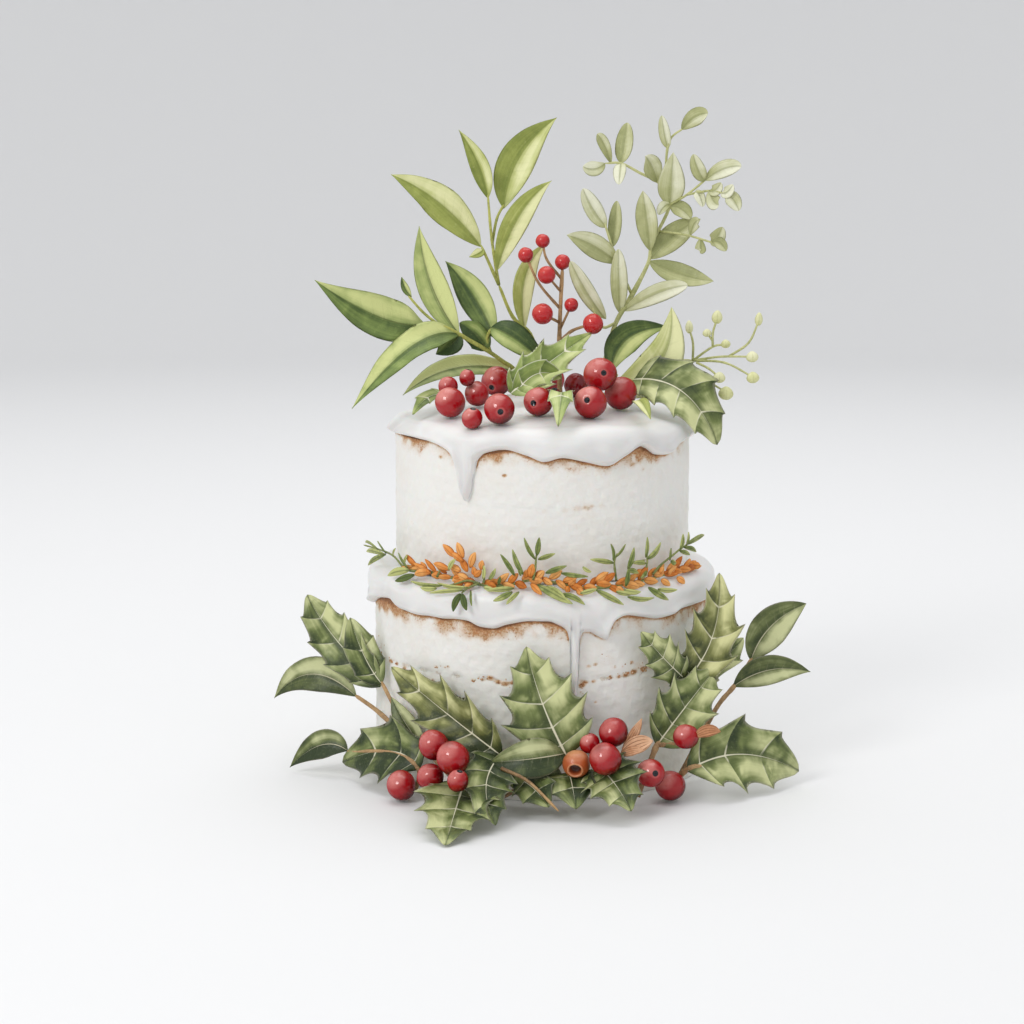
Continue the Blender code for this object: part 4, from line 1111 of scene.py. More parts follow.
@dataclass
class SpongeLayer:
    """One layer of a tier, with a scraped side, rough joints and toasted crumb.

    Args:
        name: Name of the piece and of the solid it stands for.
        foot: Height of its foot.
        top: Height of its top.
        radius: Radius of the tier.
        cap: The icing that hangs over the tier.
        joint: Height of the tier's joint.
        spans: Across, half-width, strength and depth of each toasted stretch under the icing.
        marks: Across, up, radius and strength of each toasted mark that shows; some of them are
            painted shade instead.
        joint_toast: How toasted the joint is away from the marks.
        groove: Depth of the groove at the joint.
        steps: Points round it.
        pitch: Height from row to row.
    """

    name: str
    foot: float
    top: float
    radius: float
    cap: IcingCap
    joint: float
    spans: Sequence[tuple[float, float, float, float]]
    marks: Sequence[tuple[float, float, float, float]]
    joint_toast: float
    groove: float
    steps: int = 760
    pitch: float = 0.62

    def inset(self, angle: Array, height: Array) -> Array:
        """How far the side lies inside the full radius: slow swells and fine unevenness.

        Args:
            angle: Bearings.
            height: Heights.

        Returns:
            Distances, shaped alike.
        """
        wide = np.sin(5 * angle + 0.05 * height) * np.sin(3 * angle + 1.3)
        fine = np.sin(17 * angle + 0.21 * height) * np.cos(11 * angle - 0.13 * height)
        return 0.55 + 0.28 * wide + 0.12 * fine

    def under_icing(self, angle: Array, height: Array) -> Array:
        """How toasted the side is below the icing's edge.

        Each stretch adds strength exp(-(d / depth)^1.2) at distance d from the edge, and a wider
        faint stain. The depth is ragged, and behind the cake it comes in patches. A thin line right
        at the edge is partly toasted crumb and partly painted shadow under the icing.

        Args:
            angle: Bearings.
            height: Heights.

        Returns:
            Toast, with the painted shadow line, from 0 to about 1.
        """
        distance = self.cap.edge_distance(angle, height)
        at = round_at(angle, self.radius, 0 * height)
        ragged = 1 + 0.45 * RAGGED(round_at(angle, self.radius, height))
        behind = smoothstep(0.0, -0.35, -np.abs(wrapped(angle)) + math.pi / 2 + 0.1)
        patches = np.clip(0.45 + 0.55 * STAINS(at), 0.0, 1.0)
        toast = 0.9 * behind * patches * hump(distance, 0.0, 4.5 * ragged.clip(0.4), 1.4)
        for across, half, strength, depth in self.spans:
            turn = wall_mark(across, 0.0, self.radius)[0]
            here = strength * hump(wrapped(angle - turn) * self.radius, 0.0, half, 3)
            toast = toast + here * (hump(distance, 0.0, depth * ragged.clip(0.35), 1.2)
                                    + 0.3 * hump(distance, 0.0, 2.4 * depth))
        # Thin dark line along the edge all round: partly toasted crumb, partly painted shadow under
        # the icing.
        toast = toast + 0.75 * hump(distance, 0.0, 0.9)
        below = np.maximum(self.cap.soft_edge(angle) - height - 6.0, 0.0)
        return toast * hump(below, 0.0, 4.0)

    def make(self) -> None:
        """Build the layer.

        The side is the radius less its unevenness, a groove at the joint, and pits where the
        crumb is bare.
        """
        rows = np.linspace(self.foot, self.top, int((self.top - self.foot) / self.pitch))
        rows = np.concatenate([rows[:1], rows[:1] + 0.03, rows[1:-1], rows[-1:] - 0.03, rows[-1:]])
        angle, height = np.broadcast_arrays(full_turn(self.steps), rows[:, None])
        at = round_at(angle, self.radius, height)
        toast = self.under_icing(angle, height)
        joint = hump(height, self.joint, 1.3, 1.5)
        patchy = np.clip(0.25 + 0.75 * PATCHES(at), 0.0, 1.0)
        bare = (0.15 + 0.9 * self.joint_toast) * joint * patchy + np.clip(toast, 0, 1) * 0.8
        front = smoothstep(0.35, 0.1, -np.cos(angle) + 0.15)
        toast = toast + self.joint_toast * joint * patchy * (1 - 0.75 * front)
        # Each mark adds toast and bare crumb; some of them paint shade rather than toast.
        for across, up, size, strength in self.marks:
            mark_angle, mark_height = wall_mark(across, up, self.radius)
            gap = wrapped(angle - mark_angle) * self.radius
            spot = strength * hump(gap, 0.0, 1.5 * size) * hump(height, mark_height, size)
            toast, bare = toast + spot, bare + 0.7 * spot
        pits = PITS[0](at) * PITS[1](at)
        scrape = 0.10 * SCRAPES[0](at) + 0.05 * SCRAPES[1](at)
        inset = self.inset(angle, height) + self.groove * joint * (0.3 + 0.7 * patchy) + scrape
        inset = inset + np.clip(bare, 0, 1.2) * (0.20 + 0.20 * pits)
        ends = [round_at(angle[0], self.radius - 2.0, level) for level in (self.foot, self.top)]
        side = round_at(angle, self.radius - inset, height)
        rings = np.concatenate([ends[:1], side, ends[1:]])
        crust = stacked(toast, bare, 0.0)
        crust = np.concatenate([crust[:1], crust, crust[-1:]])
        shell = Shell(rings, point(0, 0, self.foot), point(0, 0, self.top), {"crust": crust})
        piece(self.name + "_side", [shell], Finishes.SPONGE, self.name)


@dataclass
class Cake:
    """Two iced tiers of two sponge layers each.

    Args:
        upper_edge: Seen places of the upper icing's edge.
        upper_back: Bearings and heights of that edge behind.
        lower_edge: Seen places of the lower icing's edge.
        lower_back: Bearings and heights of that edge behind.
        upper_spans: Toasted stretches under the upper icing.
        upper_marks: Toasted marks on the upper tier.
        lower_spans: Toasted stretches under the lower icing.
        lower_marks_and_shade: Toasted marks on the lower tier, and painted shade beside its drips
            and along its left side.
    """

    upper_edge: Sequence[tuple] = (
        (-74.5, 168), (-67, 166), (-60, 164.3), (-53, 162), (-48, 159), (-44.5, 154), (-42.3, 146),
        (-40.8, 138), (-38.2, 132.6), (-35.8, 138), (-34.6, 147), (-33, 154), (-29, 157.6),
        (-19, 159.2), (-8, 156.2), (1, 153), (10, 155), (22, 153), (33, 151), (42, 156),
        (50, 161.2), (58, 157), (63, 157), (68, 162), (73, 166))
    upper_back: Sequence[tuple] = (
        (90, 167), (103, 163), (116, 167), (128, 165), (139, 161), (144, 157), (147, 149),
        (150, 147), (153, 150), (157, 158), (164, 163), (178, 165), (190, 161), (203, 165),
        (214, 167), (225, 162), (230, 155), (233, 153), (236, 156), (242, 163), (256, 167))
    lower_edge: Sequence[tuple] = (
        (-87, 80.5), (-83, 82.5), (-77.6, 81.6), (-71, 76), (-63.6, 73.4), (-57, 72.8),
        (-50.7, 71.5), (-44, 71.2), (-38, 70.3), (-31, 67), (-25.7, 66.3), (-17, 68.5),
        (-5.5, 70.2), (3, 70.1), (9, 68), (12.8, 65.2), (14.2, 60), (14.9, 40), (15.8, 27),
        (17, 23), (18.2, 27), (18.9, 42), (19.6, 60), (21.3, 64.6), (24, 64.7), (29, 62.4),
        (33.2, 60.7), (35.4, 66.8), (38, 71), (43, 73.4), (52, 72.6), (60, 71.9), (66, 73.5),
        (71.5, 77.2), (79, 80), (87, 85.5))
    lower_back: Sequence[tuple] = (
        (92, 85), (105, 80), (119, 84), (135, 82), (148, 85), (160, 80), (167, 76), (169.5, 66),
        (172, 63.5), (174.5, 66), (177, 76), (186, 81), (200, 85), (214, 81), (227, 85), (238, 81),
        (243, 75), (246, 73), (249, 76), (255, 82), (266, 84))
    upper_spans: Sequence[tuple] = (
        (-66, 15, 0.9, 3.6), (-49, 6, 0.6, 5.0), (-24, 8, 1.0, 4.2), (-6, 9, 0.35, 2.6),
        (11, 9, 0.65, 3.2), (29, 12, 0.45, 3.0), (52, 12, 0.9, 6.5), (69, 12, 0.6, 3.0))
    upper_marks: Sequence[tuple] = (
        (-19.5, 146, 0.75, 1.5), (-52.5, 155.5, 0.8, 0.9), (12, 128, 1.6, 0.3),
        (18, 129, 2.0, 0.34), (24, 129.5, 2.0, 0.4), (22, 129.5, 0.8, 0.3), (26, 130.5, 0.7, 0.3),
        (31, 130.5, 1.6, 0.26), (1, 127.5, 1.4, 0.28), (47, 152, 1.0, 0.5), (52, 149.5, 0.9, 0.4))
    lower_spans: Sequence[tuple] = (
        (-80, 21, 1.2, 6.5), (-60, 8, 0.45, 3.0), (-50, 6, 0.75, 6.0), (-34, 9, 1.0, 8.0),
        (-18, 7, 0.7, 6.5), (-3, 9, 0.6, 4.5), (7, 6, 0.5, 4.0), (45, 13, 0.5, 4.0),
        (69, 10, 0.7, 5.0), (82, 18, 0.8, 5.0))
    lower_marks_and_shade: Sequence[tuple] = (
        (-79, 49, 1.0, 1.2), (-76, 47.5, 0.9, 1.0), (-72, 45, 1.1, 1.1), (-68, 43.5, 0.9, 0.9),
        (-65, 42, 0.8, 0.8), (-57, 38, 1.0, 1.3), (-55, 46, 0.8, 0.5), (-49, 46, 0.8, 0.5),
        (-36, 39, 0.7, 0.6), (-31, 39, 0.8, 0.7), (-27, 40, 1.1, 1.2), (-23, 38, 1.1, 1.1),
        (-19, 37, 1.2, 1.4), (-15, 37.5, 1.0, 1.1), (-12, 39, 0.7, 0.6), (3, 41.5, 1.0, 1.4),
        (6, 40, 0.9, 1.2), (10, 38, 1.2, 1.2), (11, 36, 0.8, 0.9), (21, 36.5, 1.0, 1.3),
        (23, 38, 0.9, 1.0), (27, 38.5, 0.9, 0.9), (36, 40.5, 0.8, 0.7), (40, 41, 0.9, 0.8),
        (44, 42, 1.1, 1.1), (48, 43.5, 1.2, 1.3), (53, 45, 1.2, 1.3), (57, 46.5, 1.1, 1.1),
        (24.5, 46.5, 0.8, 0.8), (28, 47.5, 0.8, 0.9), (38, 46, 0.6, 0.5), (42, 46.5, 0.6, 0.5),
        # From (20.6, 39) to (19.4, 25) the marks paint shade beside the thin drip; (34, 52) and
        # (36, 47) paint shade below the pour's tip; (-84, 60) and (-82, 52) paint shade along the
        # left side.
        (47, 48.5, 0.7, 1.0), (28, 27.5, 0.6, 0.9), (20.6, 39, 1.0, 0.5), (20.7, 36, 1.1, 0.4),
        (20.6, 32, 1.1, 0.35), (20.2, 28, 1.0, 0.3), (19.4, 25, 0.9, 0.25), (34, 52, 3.2, 0.16),
        (36, 47, 2.6, 0.14), (-84, 60, 4.0, 0.14), (-82, 52, 4.0, 0.14), (50, 47, 2.4, 0.3),
        (56, 49, 2.4, 0.3))

    def make(self) -> None:
        """Build the icing caps and the four layers."""
        lower = IcingCap("lower_icing", LOWER_RADIUS, LOWER_TOP + GAP, LOWER_ICING_TOP, 0.0,
                         self.lower_edge, self.lower_back, 63.0)
        upper = IcingCap("upper_icing", UPPER_RADIUS, UPPER_TOP + GAP, UPPER_ICING_TOP,
                         DOME_RISE, self.upper_edge, self.upper_back, seed=8)
        lower.make()
        upper.make()
        low = (LOWER_RADIUS, lower, LOWER_JOINT, self.lower_spans, self.lower_marks_and_shade, 0.7, 0.45)
        high = (UPPER_RADIUS, upper, UPPER_JOINT, self.upper_spans, self.upper_marks, 0.08, 0.04)
        for name, foot, top, tier in (
                ("lower_layer_bottom", 0.0, LOWER_JOINT, low),
                ("lower_layer_top", LOWER_JOINT, LOWER_TOP, low),
                ("upper_layer_bottom", LOWER_ICING_TOP + GAP, UPPER_JOINT, high),
                ("upper_layer_top", UPPER_JOINT, UPPER_TOP, high)):
            SpongeLayer(name, foot, top, *tier).make()


# Berries


@dataclass(frozen=True)
class Berry:
    """Round berry with a small eye.

    Args:
        radius: Its radius.
        facing: Which way its eye looks.
        pit: Depth of the eye as a share of the radius.
        long: How much longer than wide it is.
        rows: Rows of points.
        steps: Points to a ring.
    """

    radius: float
    facing: Triple = (0.3, -0.5, 0.8)
    pit: float = 0.13
    long: float = 1.05
    rows: int = 34
    steps: int = 44

    def shell(self, centre: Array, seed: int) -> Shell:
        """Sphere stretched a little along its axis, with faint lumps and a pit at the eye.

        The pit is pit exp(-(angle / 0.18)^2) of the radius, inside a low ring at 0.33.

        Args:
            centre: Middle of the berry.
            seed: Seed of its lumps and tint.

        Returns:
            The berry.
        """
        axis = unit(point(*self.facing))
        side = unit(np.cross(axis, (0.31, 0.22, 0.92)))
        turned = np.stack([side, np.cross(axis, side), axis])
        polar = np.linspace(0.02, math.pi - 0.05, self.rows)[:, None]
        turn = full_turn(self.steps)
        ways = stacked(np.sin(polar) * np.cos(turn), np.sin(polar) * np.sin(turn),
                       self.long * np.cos(polar))
        lumps = 0.012 * Ripple(seed, 1.6, 8)(ways)
        pit = self.pit * hump(polar, 0.0, 0.18) - 0.015 * hump(polar, 0.33, 0.09)
        rings = centre + (self.radius * (1 + lumps - pit))[..., None] * (ways @ turned)
        high, low = self.radius * self.long * (1 - self.pit), -self.radius * self.long
        values = stacked(polar / math.pi, np.random.default_rng(seed).uniform(),
                         1.45 / self.radius / math.pi + 0 * turn)
        # How far each point faces the light, for the berry's painted shade and painted highlight.
        upper = 0.5 + 0.5 * unit(rings - centre) @ unit(point(-0.45, -0.55, 0.70))
        return Shell(rings, centre + high * turned[2], centre + low * turned[2],
                     {"berry": values, "tone": np.stack([upper] * 3, -1)})


@dataclass
class Berries:
    """Loose berries on the top and at the foot, and one open rose hip.

    Args:
        top: Radius and way of the eye of each berry on top.
        dark: Which of them lie in shadow.
        foot: The same for each berry at the foot.
        hip_radius: Radius of the rose hip.
        hip_facing: Which way its hollow looks.
    """

    top: Sequence[tuple[float, Triple]] = (
        (7.3, (-0.6, 0.5, 0.4)), (5.0, (0.1, -0.3, 1)), (7.4, (0.1, -1, -0.1)), (6.0, (0, 0.5, 1)),
        (7.6, (-0.35, -1, -0.4)), (4.8, (-0.2, 0.3, 1)), (4.0, (0.2, 0, 1)), (7.0, (-0.35, -1, 0)),
        (7.8, (-0.25, -1, 0.25)), (7.9, (0.6, 0.4, 0.6)), (6.0, (0, 0.5, 1)),
        (8.2, (0.2, -1, 0.18)), (3.0, (0, -0.5, 1)), (7.0, (0.3, 1, 0.3)), (7.6, (-0.3, 1, 0.2)))
    dark: Sequence[int] = (11, 13)
    foot: Sequence[tuple[float, Triple]] = (
        (7.1, (-0.5, 0.3, 0.6)), (7.8, (0.3, 0.2, -0.9)), (6.3, (-0.6, 0.6, -0.4)),
        (5.0, (0.2, -0.2, 1)), (7.0, (-0.4, 0.5, 0.5)), (4.8, (0, 0.4, 1)), (6.9, (0.2, 0.6, 0.5)),
        (7.5, (0.4, 0.4, -0.8)), (5.9, (1, 0.1, 0.1)), (6.7, (0.3, -1, 0.25)),
        (7.2, (0.5, 0.3, -0.6)))
    hip_radius: float = 6.7
    hip_facing: Triple = (-0.12, -1, -0.32)

    @staticmethod
    def middle(node: str) -> Array:
        """Middle of a solid's box in millimetres."""
        return np.mean(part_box(node), 0) / MM

    def make(self) -> None:
        """Build each berry over its own solid."""
        for place, rows in (("top", self.top), ("base", self.foot)):
            for number, row in enumerate(rows, start=1):
                node = f"{place}_berry_{number:02d}"
                dark = place == "top" and number in self.dark
                finish = Finishes.DARK_BERRY if dark else Finishes.BERRY
                shell = Berry(*row).shell(self.middle(node), number * 7 + len(place))
                piece(node + "_skin", [shell], finish, node)
        self.hip()

    def hip(self) -> None:
        """Build the rose hip: a ball with a wide hollow in front and a rolled rim."""
        centre = self.middle("base_rose_hip")
        shell = Berry(self.hip_radius, self.hip_facing, 0.0, 1.0, 60, 56).shell(centre, 77)
        polar = shell.fields["berry"][..., :1] * math.pi
        hollow = 0.62 * (1 - smoothstep(0.30, 0.50, polar)) * self.hip_radius
        outward = unit(shell.rings - centre) * 0.28 * hump(polar, 0.56, 0.08)
        shell.rings = shell.rings - unit(point(*self.hip_facing)) * hollow + outward
        shell.first = shell.rings[0].mean(0)
        # How high each point lies, for the hip's painted highlight on top.
        high = (shell.rings - centre)[..., 2] / (2 * self.hip_radius) + 0.5
        shell.fields["berry"][..., 1] = high
        piece("rose_hip", [shell], Finishes.HIP, "base_rose_hip")


# Leaves, stems and small fruit


def curve(points: Array, steps: int) -> Array:
    """Smooth path through points.

    Each span is the cubic whose slope at a point is half the step between its neighbours.

    Args:
        points: Points, at least two.
        steps: Steps to a span.

    Returns:
        The path.
    """
    ends = np.concatenate([2 * points[:1] - points[1:2], points, 2 * points[-1:] - points[-2:-1]])
    a, b, c, d = (v[:, None] for v in (ends[:-3], ends[1:-2], ends[2:-1], ends[3:]))
    t = (np.arange(steps) / steps)[None, :, None]
    cubic = (3 * (b - c) + d - a) * t**3 + (2 * a - 5 * b + 4 * c - d) * t**2
    path = b + 0.5 * (cubic + (c - a) * t)
    return np.concatenate([path.reshape(-1, 3), points[-1:]])


def swept(
    path: Array,
    wide: Array,
    deep: Array,
    hint: Array,
    steps: int = 10,
    tone: Triple = (0.5, 0.0, 0.0),
    ridges: float = 0.0,
) -> Shell:
    """Closed body along a path.

    At angle a each ring stands out by wide cos a to the side and deep sin a towards `hint`, and
    both grow by the share ridges cos 4a.

    Args:
        path: Its middle line.
        wide: Half-width at each point of the line.
        deep: Half-depth at each point of the line.
        hint: Which way its broad face looks.
        steps: Points to a ring.
        tone: Seed, tint and back for the material.
        ridges: Height of its lengthwise ridges.

    Returns:
        The body.
    """
    along = unit(np.gradient(path, axis=0))
    side = unit(np.cross(along, hint))
    out = np.cross(side, along)
    turn = full_turn(steps)
    grown = 1 + ridges * np.cos(4 * turn)
    across = (wide[:, None] * np.cos(turn) * grown)[..., None] * side[:, None]
    toward = (deep[:, None] * np.sin(turn) * grown)[..., None] * out[:, None]
    values = stacked(np.cos(turn), np.linspace(0, 1, len(path))[:, None], 0.5)
    tones = np.broadcast_to(np.array(tone, float), values.shape)
    rings = path[:, None] + across + toward
    return Shell(rings, path[0], path[-1], {"leaf": values, "tone": tones})


def twig(points: Array, start: float, end: float, seed: int, steps: int = 7,
         sides: int = 9) -> Shell:
    """Round stem through points, tapering, with slight knots and swellings.

    Args:
        points: Points it passes through.
        start: Radius at its foot.
        end: Radius at its tip.
        seed: Seed of its knots.
        steps: Steps to a span.
        sides: Points to a ring.

    Returns:
        The stem.
    """
    path = curve(np.asarray(points, float), steps)
    share = np.linspace(0, 1, len(path))
    rng = np.random.default_rng(seed)
    knots = rng.uniform(0.1, 0.9, 3)
    swell = 1 + 0.16 * hump(share[:, None], knots, 0.035).sum(1)
    radius = (start + (end - start) * share) * swell
    radius = radius * np.sqrt(np.clip((1 - share) / 0.03, 0.25, 1.0))
    reach = np.abs(unit(np.diff(path, axis=0))).max(0)
    hint = np.eye(3)[int(reach.argmin())]
    return swept(path, radius, radius, hint, sides, (rng.uniform(), 0.0, 0.0))


@dataclass(frozen=True)
class LeafForm:
    """Outline and surface of one kind of leaf.

    Args:
        spines: Points on each side, or none for a smooth leaf.
        fullest: Share of its length at which a smooth leaf is widest.
        slant: How far the side veins run forward to the rim, as a share of its length.
        rows: Stations along a smooth leaf, or along each bay of a spiny one.
        half: Points from the rib to the rim.
        scallop: Depth of the bays as a share of the half-width.
        quilt: How far the panels between side veins stand proud.
        rim: How far the rim waves up and down.
        veins: Side veins of a smooth leaf.
        fall: Power that its half-width falls off with towards the tip.
        hook: How far the points sweep forward, as a share of its length.
    """

    spines: int = 0
    fullest: float = 0.42
    slant: float = 0.10
    rows: int = 26
    half: int = 7
    scallop: float = 0.42
    quilt: float = 0.14
    rim: float = 0.25
    veins: float = 8.0
    fall: float = 0.95
    hook: float = 0.0

    def stations(self) -> tuple[Array, Array, Array, Array]:
        """Stations along the leaf.

        A smooth leaf's half-width is t^rise (1 - t)^fall over its peak. A spiny one's is such an
        oval less a bay between each two points, scallop sin(pi u)^0.75 deep at the share u of it.

        Returns:
            Place along, share of the half-width, a count that is whole at each side vein, and how
            far the rim sweeps forward.
        """
        rise = self.fall * self.fullest / (1 - self.fullest)
        peak = self.fullest**rise * (1 - self.fullest) ** self.fall
        if not self.spines:
            t = 0.5 - 0.5 * np.cos(np.linspace(0.12, math.pi - 0.16, self.rows))
            return t, t**rise * (1 - t) ** self.fall / peak, t * self.veins, 0 * t
        marks = [0.0] + [(k + 0.75) / (self.spines + 0.6) for k in range(self.spines)] + [0.995]
        depths = [0.12] + [self.scallop] * (self.spines - 1) + [0.72 * self.scallop]
        u = np.linspace(0, 1, self.rows, endpoint=False)[None]
        low, high = np.array(marks[:-1])[:, None], np.array(marks[1:])[:, None]
        t = low + (high - low) * u
        oval = np.maximum(t, 0.004) ** rise * (1 - t) ** self.fall / peak
        hollow = np.sin(math.pi * u**0.8) ** 0.75
        bay = np.array(depths)[:, None] * hollow
        count = np.arange(self.spines + 1)[:, None] + u
        sweep = self.hook * (1 - hollow) ** 2 * np.sin(math.pi * t) ** 0.5
        return t.ravel(), (oval * (1.06 - bay)).ravel(), count.ravel(), sweep.ravel()


LONG = LeafForm(fullest=0.44, rows=30, half=8, veins=11, fall=1.15)
BROAD = LeafForm(fullest=0.45, rows=26, veins=9)
ROUND = LeafForm(fullest=0.56, rows=14, half=5, quilt=0.05, rim=0.25, veins=5, fall=0.55)
SMALL = LeafForm(fullest=0.5, rows=12, half=4, quilt=0.05, rim=0.2, veins=5)
HOLLY = LeafForm(4, 0.40, 0.13, 8, 9, 0.29, 0.8, 1.8, fall=0.95, hook=0.065)
WIDE_HOLLY = LeafForm(4, 0.33, 0.13, 8, 9, 0.28, 0.8, 1.8, fall=1.0, hook=0.065)
PLAIN_HOLLY = LeafForm(3, 0.42, 0.13, 8, 8, 0.33, 1.1, 1.6, fall=0.95, hook=0.075)
SMALL_HOLLY = LeafForm(2, 0.45, 0.12, 8, 7, 0.30, 0.6, 1.2, fall=0.95, hook=0.07)
WAVY_HOLLY = LeafForm(3, 0.48, 0.14, 9, 9, 0.29, 0.8, 1.8, fall=0.85, hook=0.035)
CURVY_HOLLY = LeafForm(4, 0.44, 0.13, 8, 9, 0.19, 0.6, 1.4, fall=0.8, hook=0.04)
LOBED = LeafForm(2, 0.45, 0.12, 10, 8, 0.16, 0.8, 1.2, fall=0.8, hook=0.02)


@dataclass(frozen=True)
class Leaf:
    """One leaf on a bowed midrib.

    Args:
        base: Seen place of the foot of the midrib.
        middle: Seen place of its middle.
        tip: Seen place of its tip.
        width: Width of the leaf.
        form: Its kind.
        tint: From -1, dark, to 1, light.
        face: Which way its upper side looks.
        wave: How far it twists up and down along its length.
        fold: How far each half rises from the rib, as a share of the half-width.
        kind: Its finish, where it isn't the sprig's own.
        thick: Thickness at the rib.
    """

    base: Triple
    middle: Triple
    tip: Triple
    width: float
    form: LeafForm
    tint: float = 0.0
    face: Triple = FORWARD
    wave: float = 0.0
    fold: float = 0.22
    kind: Finishes | None = None
    thick: float = 0.9

    def shell(self, places: Array, seed: int) -> Shell:
        """Build the leaf.

        The rib is the quadratic through its three points. A point across at share s and along at
        t lies on the rib's frame at t less the veins' slant, out to the side by s times the
        half-width, and up by the fold, fold |s|^1.5, the panels between side veins, and the waves
        of the rim. The two faces part by the thickness, which is greatest at the rib and nothing
        at the rim.

        Args:
            places: True places of the base, the middle and the tip.
            seed: Seed of its shade and waves.

        Returns:
            The leaf.
        """
        form, (base, middle, tip) = self.form, places
        t, share, count, sweep = (v[:, None] for v in form.stations())
        top = np.linspace(-1, 1, 2 * form.half + 1)
        s = np.concatenate([top, top[-2:0:-1]])
        s = np.sign(s) * np.abs(s) ** 1.2
        below = np.concatenate([np.zeros(len(top)), np.ones(len(top) - 2)])
        off = np.abs(s)
        r = (t - form.slant * (1 - off) * 4 * t * (1 - t) + sweep * off**3)[..., None]
        rib = base * ((1 - r) * (1 - 2 * r)) + middle * (4 * r * (1 - r)) + tip * (r * (2 * r - 1))
        along = unit(base * (4 * r - 3) + middle * (4 - 8 * r) + tip * (4 * r - 1))
        faced = unit(point(*self.face))
        out = unit(faced - along * (along * faced).sum(-1, keepdims=True))
        side = np.cross(along, out)
        half = np.maximum((0.54 if form.spines else 0.5) * self.width * share, 0.22)
        phase = 1.7 * seed
        size = min(1.0, self.width / 24)
        panel = (0.5 - 0.5 * np.cos(TAU * count)) * np.sin(math.pi * off) ** 0.8
        lift = self.fold * half * off**1.5 + form.quilt * size * panel
        lift = lift - 1.3 * self.wave * s * np.sin(1.2 * count + phase) * share
        lift = lift + form.rim * size * np.sin(math.pi * count + phase + 0.6 * s) * off**2.5 * share
        deep = self.thick * (1 - 0.4 * t) * (0.3 + 0.7 * hump(s, 0.0, 0.12)) * (1 - off**6)
        lift = lift + deep * (0.5 - below)
        rings = rib + side * (s * half)[..., None] + out * lift[..., None]
        shade = 0.5 + 0.5 * math.sin(12.9898 * seed + 4.1)
        fields = {"leaf": stacked(s, t, count), "tone": stacked(shade, self.tint, below + 0 * t)}
        return Shell(rings, base, tip, fields)

    def build(self, sprig: Sprig, count: int) -> tuple[Finishes, Shell]:
        """The leaf as a part of a sprig, in the sprig's own finish unless it has another."""
        places = seen([self.base, self.middle, self.tip])
        return self.kind or sprig.blade, self.shell(places, sprig.seed(count))


@dataclass(frozen=True)
class Stem:
    """Stem through seen points.

    Args:
        points: The points.
        start: Radius at its foot.
        end: Radius at its tip.
        root: Where it stands in the upper icing, x and y, if it does.
        depth: How deep it stands in it.
    """

    points: Sequence[Triple]
    start: float = 1.1
    end: float = 0.8
    root: tuple[float, float] | None = None
    depth: float = 6.0

    def build(self, sprig: Sprig, count: int) -> tuple[Finishes, Shell]:
        """The stem as a part of a sprig.

        Args:
            sprig: The sprig it belongs to.
            count: Its number there.

        Returns:
            Its finish and shape.
        """
        places = seen(self.points)
        if self.root:
            surface = point(*self.root, icing_height(*self.root))
            low = surface - self.depth * unit(places[0] - surface)
            places = np.vstack([low, surface, places])
        return sprig.wood, twig(places, self.start, self.end, sprig.seed(count))


@dataclass(frozen=True)
class Stalk:
    """Short bowed stalk from a seen point to just inside a berry.

    Args:
        start: Where it leaves its stem.
        berry: Seen middle of the berry.
        radius: The berry's radius.
    """

    start: Triple
    berry: Triple
    radius: float

    def build(self, sprig: Sprig, count: int) -> tuple[Finishes, Shell]:
        """The stalk as a part of a sprig.

        Args:
            sprig: The sprig it belongs to.
            count: Its number there.

        Returns:
            Its finish and shape.
        """
        foot, centre = seen([self.start, self.berry])
        end = centre + unit(foot - centre) * self.radius
        middle = 0.5 * (foot + end) + point(0, 0, 1.2)
        return sprig.wood, twig(np.array([foot, middle, end]), 0.8, 0.95, sprig.seed(count))


@dataclass(frozen=True)
class Bud:
    """Small berry or bud.

    Args:
        place: Seen place of its middle.
        radius: Its radius.
        high: How many times as tall as wide a bud is.
    """

    place: Triple
    radius: float
    high: float = 1.0

    def build(self, sprig: Sprig, count: int) -> tuple[Finishes, Shell]:
        """The berry, or the bud as a drop along a leaning axis.

        A bud's half-width is sin(pi t^0.85)^0.62 of its radius.

        Args:
            sprig: The sprig it grows on.
            count: Its number there.

        Returns:
            Its finish and shape.
        """
        centre = seen([self.place])[0]
        if sprig.fruit is Finishes.TWIG_BERRY:
            berry = Berry(self.radius, (0.3 * math.sin(2.3 * count), 0.5, 1.0), 0.10, 1.0, 20, 28)
            return sprig.fruit, berry.shell(centre, sprig.seed(count))
        t = np.linspace(0.04, 0.97, 14)
        half = self.radius * 1.05 * np.sin(math.pi * t**0.85) ** 0.62
        lean = unit(point(0.12 * math.sin(3.1 * count), 0, 1))
        path = centre + (2 * t[:, None] - 1) * self.radius * self.high * lean
        tone = (0.5 + 0.5 * math.sin(7.7 * count), 0.1 * math.sin(count), 0.0)
        return sprig.fruit, swept(path, half, half, point(0, -1, 0), 16, tone, 0.03)


@dataclass(frozen=True)
class Sprig:
    """Stems, leaves and small fruit that stand for one solid.

    Args:
        name: The solid's name.
        blade: Finish of its leaves.
        wood: Finish of its stems.
        parts: Its parts in order.
        fruit: Finish of its berries or buds.
    """

    name: str
    blade: Finishes
    wood: Finishes
    parts: Sequence[Leaf | Stem | Stalk | Bud]
    fruit: Finishes | None = None

    def seed(self, count: int) -> int:
        """A number that differs from sprig to sprig and from part to part."""
        return 31 * sum(map(ord, self.name)) % 997 + count

    def make(self) -> None:
        """Make one piece of each finish, all standing for the solid."""
        made: dict[Finishes, list[Shell]] = {}
        for count, part in enumerate(self.parts):
            kind, shell = part.build(self, count)
            made.setdefault(kind, []).append(shell)
        for kind, shells in made.items():
            piece(f"{self.name}_{kind.value.name}", shells, kind, self.name)


# Greens on top


